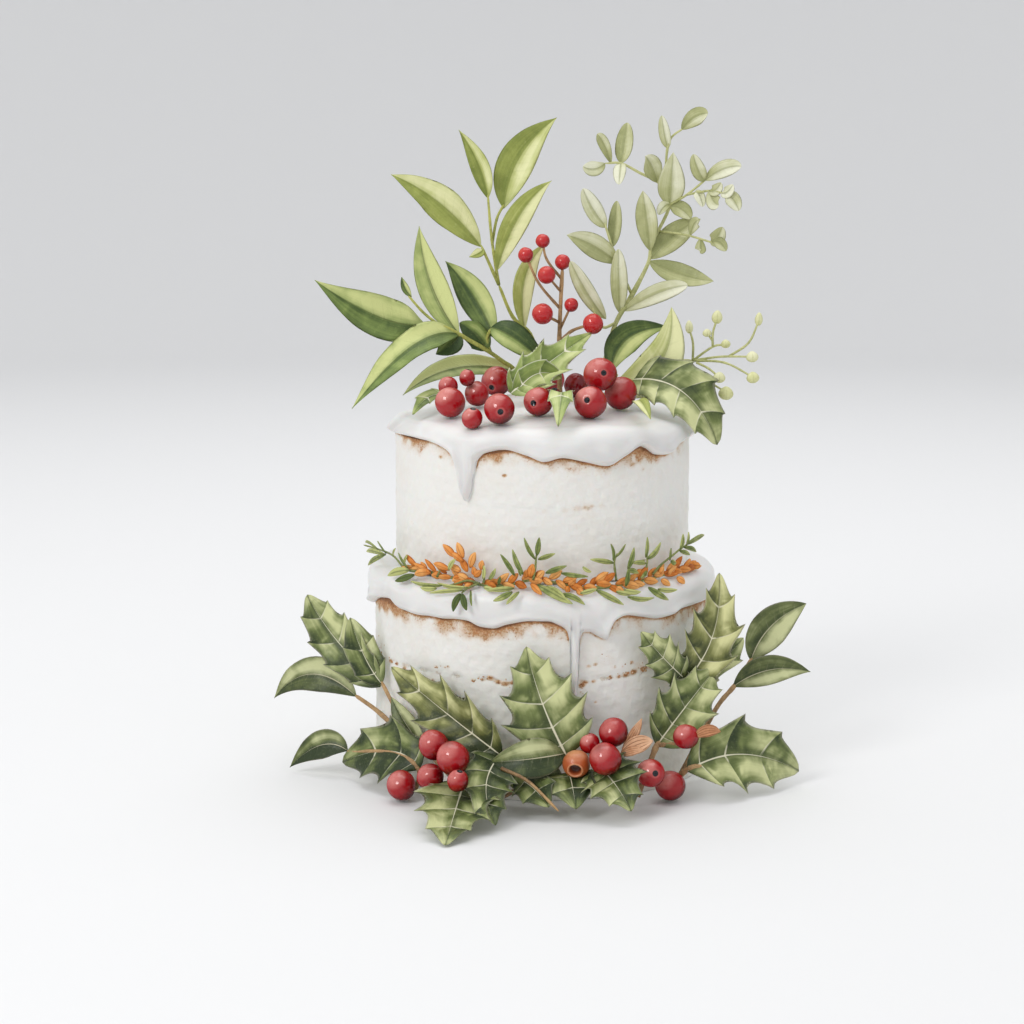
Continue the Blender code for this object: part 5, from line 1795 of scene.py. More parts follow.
def spray(rows: Sequence[tuple[Triple, Triple, float]]) -> list[Leaf]:
    """Small pale leaves, each bowed, turned and tinted a little by its number.

    Args:
        rows: Foot, tip and width of each.

    Returns:
        The leaves.
    """
    leaves = []
    for number, (base, tip, width) in enumerate(rows):
        across, up, toward = 0.5 * (np.array(base) + np.array(tip))
        middle = (across, up + (2.0 if number % 2 else -2.0), toward)
        face = (0.35 * math.sin(2.1 * number), -1, 0.25)
        tint = 0.5 * math.sin(1.3 * number) + 0.05
        form = ROUND if width < 10.5 else BROAD
        leaves.append(Leaf(base, middle, tip, width, form, tint, face, fold=0.16))
    return leaves


@dataclass
class TopGreens:
    """Branches, sprays and holly on the upper tier.

    Args:
        sprigs: The sprigs: long leaves, the centre, berries, pale leaves, buds, and holly.
    """

    sprigs: Sequence[Sprig] = (
        Sprig("long_leaf_branch", Finishes.LONG_LEAF, Finishes.GREEN_STEM, (
            Stem(((-14, 200, -10), (-20, 204.5, -8), (-28, 210, -5), (-42, 218, 2), (-50, 222, 6),
                 (-60, 223, 10)), 1.3, root=(-6, 14)),
            Stem(((-50, 221, 5), (-60, 229, 4), (-68, 238, 4)), 0.8, 0.6),
            Leaf((-59, 223, 9), (-83, 227, 16), (-115, 245.5, 24), 22, LONG, 0.03, wave=0.8),
            Leaf((-42, 218, 2), (-56, 243, -6), (-62, 272.5, -16), 16, LONG, 0.95, (0.2, -1, 0.2)),
            Leaf((-24, 216, -5), (-35, 238, -12), (-49, 255, -14), 16, LONG, 0, (-0.2, -1, 0.2)),
            Leaf((-42, 218, 2), (-66, 212, 22), (-97, 180, 44), 17, LONG, 0.4, (-0.2, -1, 0.5),
                 0.8),
            Leaf((-12, 199, -18), (-44, 201, -2), (-71, 187, 26), 14, LONG, 1.1, (-0.1, -0.8, 0.6)),
            Leaf((-66, 237, 4), (-69, 241, 4), (-71, 247, 4), 4, SMALL, 0.2),
            Leaf((-42, 218, 2), (-46, 213, 6), (-54, 208, 10), 11, SMALL, -0.6),
            Leaf((-28, 210, -5), (-34, 218, -3), (-42, 224, -2), 12, LOBED, -0.6),
            Stem(((-26, 208.5, -6), (-28, 216, -4), (-26, 221, -2)), 0.8, 0.7),
            Leaf((-26, 221.5, -2), (-14, 216, 4), (2, 202.5, 3), 15, BROAD, -0.3,
                 (0.1, -1, 0.5)))),
        Sprig("centre_spray", Finishes.YOUNG_LEAF, Finishes.GREEN_STEM, (
            Stem(((-5, 216, -22), (-15, 227, -20), (-22, 243, -18)), 1.3, root=(-1, 23)),
            Stem(((-22, 243, -18), (-31, 263, -16)), 0.9, 0.7),
            Stem(((-22, 243, -18), (-24, 255, -19), (-26, 270, -20), (-27.5, 288, -22)), 0.9, 0.6),
            Stem(((-25.3, 264, -20), (-23, 276, -24), (-19.5, 283, -27)), 0.8, 0.6),
            Leaf((-31, 262, -16), (-52, 284, -10), (-76, 298, -4), 18, LONG, 0.45, (0.1, -1, 0.3),
                 0.8),
            Leaf((-27.5, 286, -22), (-32, 303, -23), (-42, 320, -22), 10, LONG, 0.1),
            Leaf((-19.5, 281, -27), (-12, 306, -30), (7, 326, -34), 19, LONG, 0.1, (0, -1, 0.2)),
            Leaf((-23, 250, -18), (-12, 277, -22), (4.5, 295, -28), 13, LONG, 0.3, (0.1, -1, 0.2)),
            Leaf((-9, 220, -21), (-9, 246, -16), (2, 264, -14), 11, LONG, 0.5, (0.2, -1, 0.2)),
            Leaf((-30, 261, -16), (-32, 259, -14), (-37, 257, -12), 5, SMALL))),
        Sprig("berry_sprig", Finishes.LONG_LEAF, Finishes.WOODY, (
            Stem(((8.5, 211, -5), (9, 231, -5), (10, 252, -6)), 1.4, 0.9, (9, 5)),
            Stem(((9, 231, -5), (-2, 244, -3), (-8.5, 258, -2)), 0.8, 0.6),
            Stem(((9.5, 246, -6), (2, 256, -7), (0, 265, -8)), 0.7, 0.6),
            Stem(((9, 240, -5), (2, 248, 0)), 0.7, 0.6),
            Stem(((8.5, 214, -5), (15, 220, -3), (25.5, 223.5, 2)), 0.9, 0.7),
            Stem(((8.6, 220, -5), (14.5, 233, -2)), 0.7, 0.6),
            Stem(((9, 224, -5), (0, 228.5, 2)), 0.8, 0.7),
            Bud((0, 265, -8), 3.6),
            Bud((-8.5, 258, -2), 3.9),
            Bud((2, 248, 1), 4.5),
            Bud((10, 254.5, -6), 3.9),
            Bud((0, 228.5, 3), 5.3),
            Bud((14.5, 233, -2), 3.6),
            Bud((25.5, 223.5, 3), 5.2)), Finishes.TWIG_BERRY),
        Sprig("pale_spray", Finishes.FAINT_LEAF, Finishes.PALE_STEM, (
            Stem(((33, 210, -15), (37, 224, -16), (45, 238, -18), (53, 254, -20), (55, 264, -21),
                 (63.5, 283, -24), (59, 293, -26), (48, 299, -27), (39, 303.5, -26),
                 (31, 303.5, -24)), 1.3, 0.6, (27, 15)),
            Stem(((37, 224, -16), (30, 222, -10), (25, 232, -8)), 0.8, 0.6),
            Stem(((63.5, 283, -24), (72, 288, -20), (82, 296, -16)), 0.7, 0.5),
            Stem(((61, 288, -25), (62.5, 313, -28), (70, 321, -28)), 0.7, 0.5),
            Stem(((45, 238, -18), (37, 256, -14), (31, 274, -10)), 0.8, 0.6),
            Stem(((72, 288, -20), (84, 290, -12), (92, 288, -8)), 0.6, 0.5),
            Stem(((58, 270, -22), (72, 268, -14), (86, 264, -8)), 0.6, 0.5),
            *spray((((39, 229, -17), (38, 261, -10), 9), ((41, 230, -17), (73, 243, -8), 10),
                ((32, 226, -11), (14, 255, 0), 9), ((54, 256, -20), (79, 276, -24), 13),
                ((53.5, 255, -20), (86, 245, -6), 12), ((54, 260, -20), (50, 290, -14), 11.5),
                ((63.5, 283, -24), (65, 309, -16), 14), ((57, 294, -26), (51, 307, -20), 11),
                ((39, 303.5, -26), (42, 323.5, -30), 9.5), ((34, 303.5, -25), (27, 318, -22), 6),
                ((31, 303.5, -24), (20, 302, -18), 8), ((39, 303.5, -26), (38, 293, -20), 7),
                ((62.5, 311, -28), (59, 327, -26), 6), ((69, 320, -28), (82, 328, -24), 9),
                ((81, 295, -16), (75, 308, -12), 7.5), ((81, 295, -16), (99, 302, -10), 9),
                ((32, 272, -11), (20, 291, -6), 10), ((38, 254, -15), (12, 268, -2), 12),
                ((35, 262, -13), (37, 285, -18), 7), ((63.3, 282, -24), (74, 276, -20), 9),
                ((83, 290, -12), (88, 283, -8), 8), ((91, 288, -8), (98, 280, -6), 8),
                ((84, 264.5, -9), (90, 272, -6), 8), ((85, 264.3, -8), (92, 260, -5), 6),
                ((83, 290, -12), (89, 294, -9), 6), ((76, 289.2, -17), (80, 282, -14), 6),
                ((89, 289, -9), (95, 293, -6), 6), ((74, 268, -13), (78, 275, -10), 6),
                ((79, 266.5, -11), (79, 260, -8), 6), ((64, 283, -24), (58, 278, -19), 6))))),
        Sprig("bud_sprig", Finishes.FAINT_LEAF, Finishes.PALE_STEM, (
            Stem(((47, 201, -4), (60, 204.5, -3), (76, 205, -2)), root=(37, 6)),
            *(Stem(points, 0.65, 0.5) for points in (((76, 205, -2), (90, 207, 2), (105, 207, 6)),
                ((60, 204.5, -3), (76, 199, 6), (93, 189, 14)),
                ((76, 205, -2), (76, 214, -6), (74, 221, -8)),
                ((76, 205, -2), (86, 212, -4), (92, 213, -4)),
                ((86, 212, -4), (86, 219, -5), (88, 226, -6)),
                ((76, 205, -2), (92, 204, 8), (106, 197, 12)),
                ((78, 204, 0), (84, 201, 6), (89, 197, 8)),
                ((94, 207, 3), (104, 214, 2), (109, 225, 0)), ((86, 215, -5), (83, 219, -5)))),
            *(Bud(*row) for row in (((74, 222, -8), 1.848, 1.9), ((88, 227, -6), 2.552, 1.4),
                ((92.5, 213.5, -4), 2.288, 1), ((109, 226, 0), 1.848, 1.9),
                ((106, 207, 6), 2.904, 1), ((89.5, 196.5, 8), 2.904, 1),
                ((106.5, 196.5, 12), 2.992, 1), ((93, 188.5, 14), 3.52, 1),
                ((83, 219, -5), 2.112, 1)))), Finishes.PALE_BUD),
        Sprig("centre_holly", Finishes.FRESH_HOLLY, Finishes.GREEN_STEM, (
            Leaf((-16, 188, 28), (1, 202, 20), (25, 219, 6), 22, HOLLY, 0.3, (-0.1, -1, 0.5), 0.5),
            Leaf((-14, 187, 27), (-3, 198, 25), (10, 196, 22), 13, LOBED, 0.1))),
        Sprig("small_holly_leaf", Finishes.FRESH_HOLLY, Finishes.GREEN_STEM, (
            Leaf((9, 181.5, 36), (9.5, 188, 62), (8, 171, 82), 13, SMALL_HOLLY, 0,
                 (0, -0.8, 0.6)),)),
        Sprig("left_holly_tip", Finishes.FRESH_HOLLY, Finishes.GREEN_STEM, (
            Leaf((-47, 186, 10), (-57, 186.5, 26), (-66, 177, 44), 9, SMALL_HOLLY, 0,
                 (0, -0.8, 0.6)),)),
        Sprig("right_leaf_tip", Finishes.YOUNG_LEAF, Finishes.GREEN_STEM, (
            Leaf((47, 183, 34), (50, 184, 48), (55, 175, 62), 7, SMALL, 0.2, (0, -0.8, 0.6)),)),
        Sprig("right_holly", Finishes.HOLLY, Finishes.GREEN_STEM, (
            Stem(((42, 184, 2), (47, 196, 8)), 1, 0.9),
            Leaf((45, 195, 8), (71, 189, 26), (89, 162, 28), 31, CURVY_HOLLY, 0.3, (0.35, -1, 0.55),
                 0.3))),
        Sprig("curled_leaves", Finishes.YOUNG_LEAF, Finishes.GREEN_STEM, (
            Stem(((31, 186, 0), (38, 198, 4)), 1, 0.9),
            Leaf((34, 190, 10), (59, 203, 8), (65, 232, 5), 21, BROAD, 0.8, (0.1, -1, 0.1), 0, 0.2),
            Leaf((35, 199, 0), (43, 216, -8), (64, 222, -8), 16, LONG, -0.35, (-0.1, -1, 0.3), 0,
                 0.3, Finishes.LONG_LEAF))))

    def make(self) -> None:
        """Build all the greens on top."""
        for sprig in self.sprigs:
            sprig.make()


# Greens at the foot


@dataclass
class FootGreens:
    """Holly, smooth leaves and petals round the foot.

    Args:
        sprigs: The sprigs in front and at the sides.
        behind: Name, bearing in degrees and way of fanning out of each holly sprig behind.
        fan: Across, up and width of each leaf behind.
    """

    sprigs: Sequence[Sprig] = (
        Sprig("base_left_branch", Finishes.HOLLY, Finishes.WOODY, (
            Stem(((-38, -23, 95), (-50, -9, 84), (-62, 4, 71), (-75, 13, 57), (-86, 23, 42),
                 (-97, 31, 32)), 1.6, 1),
            Stem(((-66, 7, 67), (-76, 24, 54), (-83, 38, 44)), end=0.9),
            Leaf((-83, 36, 44), (-106, 60, 30), (-121, 84, 20), 23, CURVY_HOLLY, -0.15,
                 (-0.2, -1, 0.3), 0.7),
            Leaf((-83, 37, 44), (-92, 52, 38), (-99, 72, 30), 17, LOBED, -0.5, (0.1, -1, 0.2)),
            Leaf((-96, 30, 33), (-119, 42, 24), (-139, 29, 18), 18, LONG, -0.2, (-0.2, -1, 0.4),
                 0.6, kind=Finishes.SMOOTH_LEAF),
            Leaf((-61, 3, 71), (-70, 15, 64), (-78, 30, 56), 12, BROAD, 0, (-0.3, -1, 0.1),
                 kind=Finishes.SMOOTH_LEAF),
            Stalk((-50, -9, 84), (-56, 4.5, 99), 7.1),
            Stalk((-50, -9, 84), (-46, -2.5, 112), 7.8),
            Stalk((-50, -9, 84), (-58, -12.5, 103), 6.3))),
        Sprig("base_left_low", Finishes.HOLLY, Finishes.WOODY, (
            Stem(((-66, -20, 78), (-64, -9, 80), (-76, 0, 70), (-101, 1, 48)), 1.3, 1),
            Leaf((-64, -9, 80), (-79, 1, 68), (-104, -5, 46), 30, WAVY_HOLLY, -0.7, (-0.3, -1, 0.5),
                 0.6),
            Leaf((-101, 1, 48), (-115, 4, 43), (-131.5, -8, 38), 15, LONG, -0.5, (-0.2, -1, 0.5),
                 kind=Finishes.SMOOTH_LEAF))),
        Sprig("base_front_branch", Finishes.HOLLY, Finishes.WOODY, (
            Stem(((-45, -20, 100), (-38, -8, 97), (-25, -2, 96.5), (-8, -2.5, 96.5), (13, 0, 97),
                 (30, 2, 95)), 1.2, 1),
            Leaf((-21, -1, 97), (-50, 22, 84), (-78, 46, 58), 27, HOLLY, -0.25, (-0.35, -1, 0.2),
                 0.5, kind=Finishes.OLIVE_HOLLY),
            Leaf((-40, -15, 100), (-45, -31, 130), (-50.5, -50, 160), 36, HOLLY, 0.15, (0, -0.5, 1),
                 0.6),
            Leaf((-22, -2, 97), (-29, -18, 116), (-24, -39, 141), 26, HOLLY, -0.45,
                 (0.2, -0.6, 0.9), 0.8),
            Leaf((13, -1, 99), (0, 28, 97), (-8, 57, 92), 39, WIDE_HOLLY, 0.33, (0, -1, 0.1), 0.4,
                 0.14),
            Leaf((12, 0, 99), (-6, -3, 106), (-27, -5, 100), 19, BROAD, -0.1, (0, -1, 0.4), 0.6,
                 kind=Finishes.SMOOTH_LEAF),
            Stalk((-38, -8, 97), (-43.5, -15, 125), 5),
            Stalk((30, 2, 95), (25, 5.5, 100), 4.8),
            Stalk((30, 2, 95), (37.5, 11.5, 98), 6.9),
            Stalk((30, 2, 95), (33, -3, 113), 7.5),
            Stalk((13, 0, 97), (18, -5.5, 106), 6.7))),
        Sprig("base_front_low", Finishes.HOLLY, Finishes.WOODY, (
            Stem(((-20, -23, 93), (-8, -18, 98), (14, -15, 100), (32, -12, 103)), 1.2, 1),
            Stem(((-21, -8, 106), (-7, -15, 113), (9, -31, 122)), 0.9, 0.6),
            Leaf((-22, -8, 94), (-6, -9, 99), (12, -17, 103), 20, LOBED, -0.7, (0, -1, 0.4)),
            Leaf((-12, -14, 98), (-4, -19, 109), (4, -29, 121), 20, SMALL_HOLLY, -0.9,
                 (0, -1, 0.6)),
            Leaf((14, -10, 100), (16, -17, 110), (18, -30, 121), 25, SMALL_HOLLY, -0.9,
                 (0, -1, 0.6)),
            Leaf((30, -8, 103), (38, -16, 114), (47, -31, 127), 30, HOLLY, -0.5, (0.1, -1, 0.7),
                 0.5))),
        Sprig("dried_petals", Finishes.DRIED, Finishes.WOODY, (
            Stem(((39, -14, 97), (41, 0, 101)), 1, 1.2),
            Leaf((41, -1, 101), (47, 9, 99), (52, 19, 97), 5.5, SMALL, 0, (0.3, -1, 0.1)),
            Leaf((41, 0, 101), (50, 5, 102), (58, 7, 100), 8.5, SMALL, 0.2, (0.1, -1, 0.4)),
            Leaf((41, -1, 101), (47, 1.5, 105), (53, 2, 106), 5, SMALL, -0.3, (0.1, -1, 0.6)))),
        Sprig("base_right_tall", Finishes.HOLLY, Finishes.WOODY, (
            Stem(((50, -23, 92), (56, -6, 89), (60, 5, 84), (68, 24, 72), (74, 40, 65)), 1.5, 1),
            Stem(((60, 5, 84), (72, 5, 81), (86, 3, 76)), 1.3, 1.1),
            Leaf((73, 38, 66), (88, 63, 60), (91, 96, 44), 28, HOLLY, 0.08, (0.3, -1, 0.1), 0.5,
                 0.15, Finishes.OLIVE_HOLLY),
            Leaf((74, 40, 65), (62, 52, 77), (51, 65, 81), 20, HOLLY, 0.1, (0.5, -1, 0.1), 0, 0.1),
            Leaf((60, 5, 84), (75, 26, 75), (90, 46, 62), 30, HOLLY, 0.1, (0.3, -1, 0.3), 0.5,
                 0.15),
            Leaf((74, 40, 65), (92, 50, 56), (104, 62, 44), 15, SMALL_HOLLY, 0.1, (0.2, -1, 0.3)),
            Leaf((79, 9, 92), (86, 12.5, 93), (93, 12, 91), 6, SMALL, -0.8, kind=Finishes.DRIED),
            Stalk((72, 5, 81), (75, 9.5, 90), 5.9),
            Stalk((56, -6, 89), (57, -10, 101), 6.7)), Finishes.ORANGE_BUD),
        Sprig("base_right_smooth", Finishes.SMOOTH_LEAF, Finishes.WOODY, (
            Stem(((72, -12, 59), (84, 12, 52), (92, 27, 44), (100, 37, 37), (109, 52, 30)), 1.4,
                 0.9),
            Leaf((108, 50, 31), (118, 68, 24), (136, 80, 16), 19, BROAD, 0.1, (0.1, -1, 0.2)),
            Leaf((99, 36, 38), (118, 45, 34), (139, 44, 28), 15, LONG, 0, (0.1, -1, 0.4)))),
        Sprig("base_right_low", Finishes.HOLLY, Finishes.WOODY, (
            Stem(((67, -18.5, 71), (76, -8, 84), (85, -6, 83)), 1.4, 1.1),
            Leaf((76, -9, 85), (104, 0, 76), (134, -9, 56), 34, WAVY_HOLLY, 0, (0.25, -1, 0.4), 0.8,
                 0.15))))
    behind: Sequence[tuple[str, float, int]] = (("back_left_sprig", 212, 1),
                                               ("back_right_sprig", 142, -1))
    fan: Sequence[Triple] = ((-38, 30, 27), (-8, 68, 24), (36, 36, 28))

    def lean(self, name: str, angle: float, mirror: int) -> None:
        """Build a holly sprig that leans on the cake behind.

        Args:
            name: The solid's name.
            angle: Its bearing in degrees.
            mirror: 1 or -1, for the way its leaves fan out.
        """
        turn, wall = math.radians(angle), LOWER_RADIUS + 4
        root, crown = round_at(turn, wall + 8, 6), round_at(turn, wall + 4, 24)
        sprig = Sprig(name, Finishes.HOLLY, Finishes.WOODY, ())
        leaves = []
        for count, (across, up, width) in enumerate(self.fan, start=1):
            out = wall + 5 + 0.12 * abs(across)
            middle = turn + mirror * 0.5 * across / wall
            places = (crown, round_at(middle, out + 3, 0.5 * (24 + up) + 3),
                      round_at(turn + mirror * across / wall, out, up))
            facing = tuple(round_at(middle, 1.0, 0.35))
            leaf = Leaf(*places, width, PLAIN_HOLLY, 0.1, facing, 0.4, 0.12)
            leaves.append(leaf.shell(places, sprig.seed(count)))
        stem = twig(np.array([root, crown]), 1.4, 1.1, 5)
        for kind, shells in ((sprig.wood, [stem]), (sprig.blade, leaves)):
            piece(f"{name}_{kind.value.name}", shells, kind, name)

    def make(self) -> None:
        """Build all the greens at the foot."""
        for sprig in self.sprigs:
            sprig.make()
        for row in self.behind:
            self.lean(*row)


# Garland


@dataclass
class Garland:
    """Orange buds and rosemary round the foot of the upper tier.

    The front is set out as it looks from the eye, across and up, and laid on the lower tier's rim.
    The back is the same turned half round.

    Args:
        chain: Middle line of the buds.
        roots: Where the buds' two sprigs meet, across.
        spacing: Distance from bud to bud.
        back_reach: How far across the back goes.
        bed: Radius of the chain of buds, above the rim.
        upright: Radius of the buds that stand out from it.
        stalks: Radius of the greens' stems.
        spread: Radius of the needles.
        rim: Height below which things hang over the rim.
        drop: How far below it they hang out fully.
        overhang: How much further out they are there.
        risers: Foot, tip and width of each bud that stands up or hangs.
        stems: Lines of the greens' stems.
        needles: Foot, tip, width and tint of each needle.
    """

    chain: Sequence[tuple[float, float]] = (
        (-67, 99), (-62, 97), (-56, 95.5), (-50, 94), (-44, 92.5), (-38, 91), (-32, 89.5),
        (-26, 89), (-19, 89), (-12, 90.5), (-5, 92), (1, 92), (8, 90.5), (15, 88.5), (22, 88),
        (30, 89), (38, 89), (45, 90.5), (52, 92), (60, 94.5), (68, 96.5), (75, 98), (80, 99.5))
    roots: float = -33.0
    spacing: float = 3.3
    back_reach: float = 66.0
    bed: float = 82.0
    upright: float = 84.0
    stalks: float = 84.5
    spread: float = 86.0
    rim: float = 108.0
    drop: float = 11.0
    overhang: float = 7.5
    risers: Sequence[tuple] = (
        (-44.5, 104, -51, 110.5, 3.6), (-40.2, 101, -46.2, 106, 3.2),
        (-40.4, 103, -43.6, 111.6, 3.8), (-38.2, 96, -42.4, 104, 3.4),
        (-37.0, 98, -34.2, 106.4, 3.4), (-31.4, 97, -30.6, 102.2, 2.8), (-34.5, 94, -35.4, 99, 3.0),
        (-35.0, 93.5, -31.0, 96.8, 3.0), (-47, 97, -55.8, 100.4, 3.2),
        (-41.5, 96.5, -47.6, 99.8, 3.2), (-57, 95, -66, 100.6, 3.2), (-6.2, 93, -4.4, 100.4, 3.6),
        (-9, 93, -7.4, 97.4, 2.6), (-3, 93, 1.2, 96.8, 3.0), (-6.0, 90, 0.0, 84.2, 3.0),
        (27, 91, 34.2, 96.0, 3.6), (30, 92, 32, 96.4, 2.6), (13.5, 89, 17.5, 92.8, 3.2),
        (14, 88.5, 12.4, 85.6, 2.8), (18, 88, 21.6, 84.4, 3.2), (47, 94, 52, 97.6, 3.2),
        (60, 95, 62, 99.2, 3.6), (64.5, 95, 69, 99.4, 3.2), (70, 98, 82, 99.6, 3.0),
        (69, 93.5, 73.4, 90.2, 3.4), (61, 92.5, 66, 89.2, 3.0), (-40, 92, -46.5, 88.6, 3.2),
        (-42, 93.5, -46, 92, 2.8), (-36, 89.5, -40, 87.6, 2.8), (38, 88.5, 42.4, 85.8, 3.2))
    stems: Sequence[tuple] = (
        ((-62, 96), (-70, 97.5), (-76.7, 104.6), (-85, 108), (-92, 110)),
        ((-4.5, 92), (-3.4, 98), (-3.1, 102.6), (-2.6, 106)),
        ((38.2, 92), (37.4, 98), (37.2, 102), (38.6, 106)),
        ((44, 92), (45.8, 100.4), (53.2, 102.6)), ((50.7, 93), (53.6, 99), (54.2, 105)),
        ((57, 95), (60.5, 99.5), (67, 105), (71, 108.4), (74.8, 111)),
        ((-32, 90), (-38, 91.5), (-44, 90), (-49, 88.6)), ((-33, 90), (-38.5, 87.4), (-41.5, 84.8)),
        ((-54, 93.4), (-52.4, 97)), ((-30, 90), (-29.6, 96), (-30.4, 100)))
    needles: Sequence[tuple] = (
        (-69, 98, -73.8, 106, 2.2, 0.1), (-80, 105.4, -84.4, 112, 2.6, -0.2),
        (-84, 107.6, -91, 111.4, 2.4, 0.2), (-80.5, 105, -89.4, 99.4, 2.8, 0.1),
        (-80, 104.8, -90.5, 106.6, 2.8, 0.3), (-76.7, 104, -75.2, 108.4, 2.0, 0.4),
        (-65.5, 94.4, -75.6, 91.2, 4.2, -0.9), (-68, 97, -79.4, 94, 4.4, 1.0),
        (-71, 99, -69, 105, 2.2, 0.0), (-14, 94, -21.4, 105.4, 2.6, 0.0),
        (-9.6, 94.6, -15.2, 108, 3.0, -0.1), (-11, 94, -12.7, 100.6, 2.0, -0.3),
        (-27.4, 92, -23.8, 98, 2.8, 0.2), (-22.4, 89.2, -21.4, 93.6, 2.2, -0.8),
        (-30.4, 92.4, -29.8, 99.4, 2.6, 0.9), (-48, 97, -44.4, 102.8, 2.6, 1.0),
        (-3.4, 102.6, -9.2, 114, 2.6, 0.1), (-2.7, 104.6, -1.4, 114.2, 3.2, 0.0),
        (-2.2, 102.6, 6.8, 105.8, 3.0, 0.1), (1.6, 95.4, 12.8, 99.4, 3.0, 0.1),
        (9.5, 95.6, 23.8, 93.8, 2.4, -0.2), (20.8, 99, 25.4, 96.2, 2.2, 1.0),
        (37, 100.8, 24.6, 102.8, 3.0, 0.3), (36.6, 102, 35.2, 111, 2.4, 0.0),
        (37.9, 104, 42.8, 110.8, 2.0, 0.1), (44, 97.4, 47.2, 109.2, 2.6, 0.0),
        (43, 88.6, 44.4, 98.4, 3.2, -0.6), (44, 97.2, 49.6, 95.6, 2.8, -0.3),
        (53.2, 103.6, 53.9, 114.6, 2.4, 0.1), (53.9, 103, 60.8, 111.8, 3.6, 0.5),
        (53.5, 100.6, 46.4, 101, 2.6, 0.2), (54, 97, 50.8, 93, 2.6, 0.0),
        (65.6, 102.2, 66.2, 108.8, 2.0, 0.0), (70.8, 108, 72.2, 116.2, 2.4, -0.1),
        (74, 110, 75, 117.2, 2.4, -0.1), (73.8, 110.6, 83, 115.6, 3.6, 0.1),
        (72.5, 109.4, 79, 106.8, 2.6, 0.0), (70.4, 107.4, 75.8, 105.2, 2.4, 0.1),
        (66, 101.8, 68.8, 101, 3.0, -0.2), (-51.2, 89, -67.6, 91.2, 3.0, 0.0),
        (-54, 87.4, -62.6, 87.8, 2.6, 0.5), (-40, 86.6, -57.8, 85, 2.6, 1.0),
        (-38, 88, -54, 90.4, 2.2, 0.9), (-41.6, 84.8, -45.8, 75.2, 3.6, -0.8),
        (-41, 84.8, -38.8, 75.8, 3.4, -0.8), (-36.6, 86.6, -36.2, 78.2, 1.6, 0.0),
        (-30, 88, -24, 86.4, 3.0, 0.9), (-15, 85.8, -25.2, 80.8, 3.4, 0.2),
        (-11.6, 85.8, -18.4, 79, 2.4, 0.2), (-14, 87.6, -27.8, 86.6, 3.4, 0.9),
        (-2.7, 89.6, 16, 79.4, 4.2, 0.1), (2, 88.6, 12.4, 81.8, 3.4, 0.6),
        (10, 84.8, 22.2, 79, 3.0, 0.0), (19.6, 85, 28.4, 87.4, 2.6, 1.0),
        (27.6, 87, 42.2, 79, 3.4, 0.1), (42, 87, 51, 86, 3.0, 1.0),
        (43.8, 83.4, 57.8, 82.8, 2.6, 0.2), (38, 86, 46, 84.4, 2.8, 1.0),
        (54.4, 88.4, 65.2, 81.6, 3.4, 0.1), (59.4, 87.4, 69.6, 87, 2.8, 1.0))

    def place(self, points: Sequence[Sequence[float]] | Array, out: float,
              turned: float) -> Array:
        """Points on the lower tier's rim that look to be at (across, up) from the front.

        The radius is `out` above the rim and grows where the point hangs over it.

        Args:
            points: Rows of across and up.
            out: Radius above the rim.
            turned: Angle to turn the result by, round the cake.

        Returns:
            Rows of x, y and z.
        """
        across, up = np.asarray(points, float).reshape(-1, 2).T
        radius, depth = np.full(len(across), out), np.zeros(len(across))
        for _ in range(12):
            x = across * (1 - depth / EYE_BACK)
            depth = np.sqrt(np.maximum(radius**2 - x**2, 0.0))
            height = up + (EYE_UP - up) * depth / EYE_BACK
            over = self.overhang * smoothstep(0.0, 1.0, (self.rim - height) / self.drop)
            radius = np.maximum(out + over, np.abs(x) * 1.0005)
        x = across * (1 - depth / EYE_BACK)
        return round_at(np.arcsin(np.clip(x / radius, -1, 1)) + turned, radius, height)

    def held(self, rows: Sequence[tuple], turned: float) -> list[tuple]:
        """The rows to use: at the back, only those that stay out of sight from the front."""
        return [row for row in rows if not turned or abs(row[0]) < self.back_reach]

    def bud(self, foot: Array, tip: Array, width: float, seed: int, kind: Triple) -> Shell:
        """One bud: a body whose half-width is sin(pi t^0.95)^0.75, bowed outwards and ridged.

        Args:
            foot: Its foot.
            tip: Its tip.
            width: Its width.
            seed: Seed of its bend.
            kind: Seed, tint and back for the material.

        Returns:
            The bud.
        """
        t = np.linspace(0.03, 0.99, 10)
        half = 0.5 * width * np.sin(math.pi * t**0.95) ** 0.75 + 0.12
        radial = unit(point(foot[0], foot[1], 0))
        bow = 0.10 * np.linalg.norm(tip - foot) * math.sin(1.9 * seed)
        arch = np.outer(np.sin(math.pi * t), radial + (0, 0, 0.6))
        path = foot + (tip - foot) * t[:, None] + arch * bow
        return swept(path, half, 0.62 * half, radial, 10, kind, 0.07)

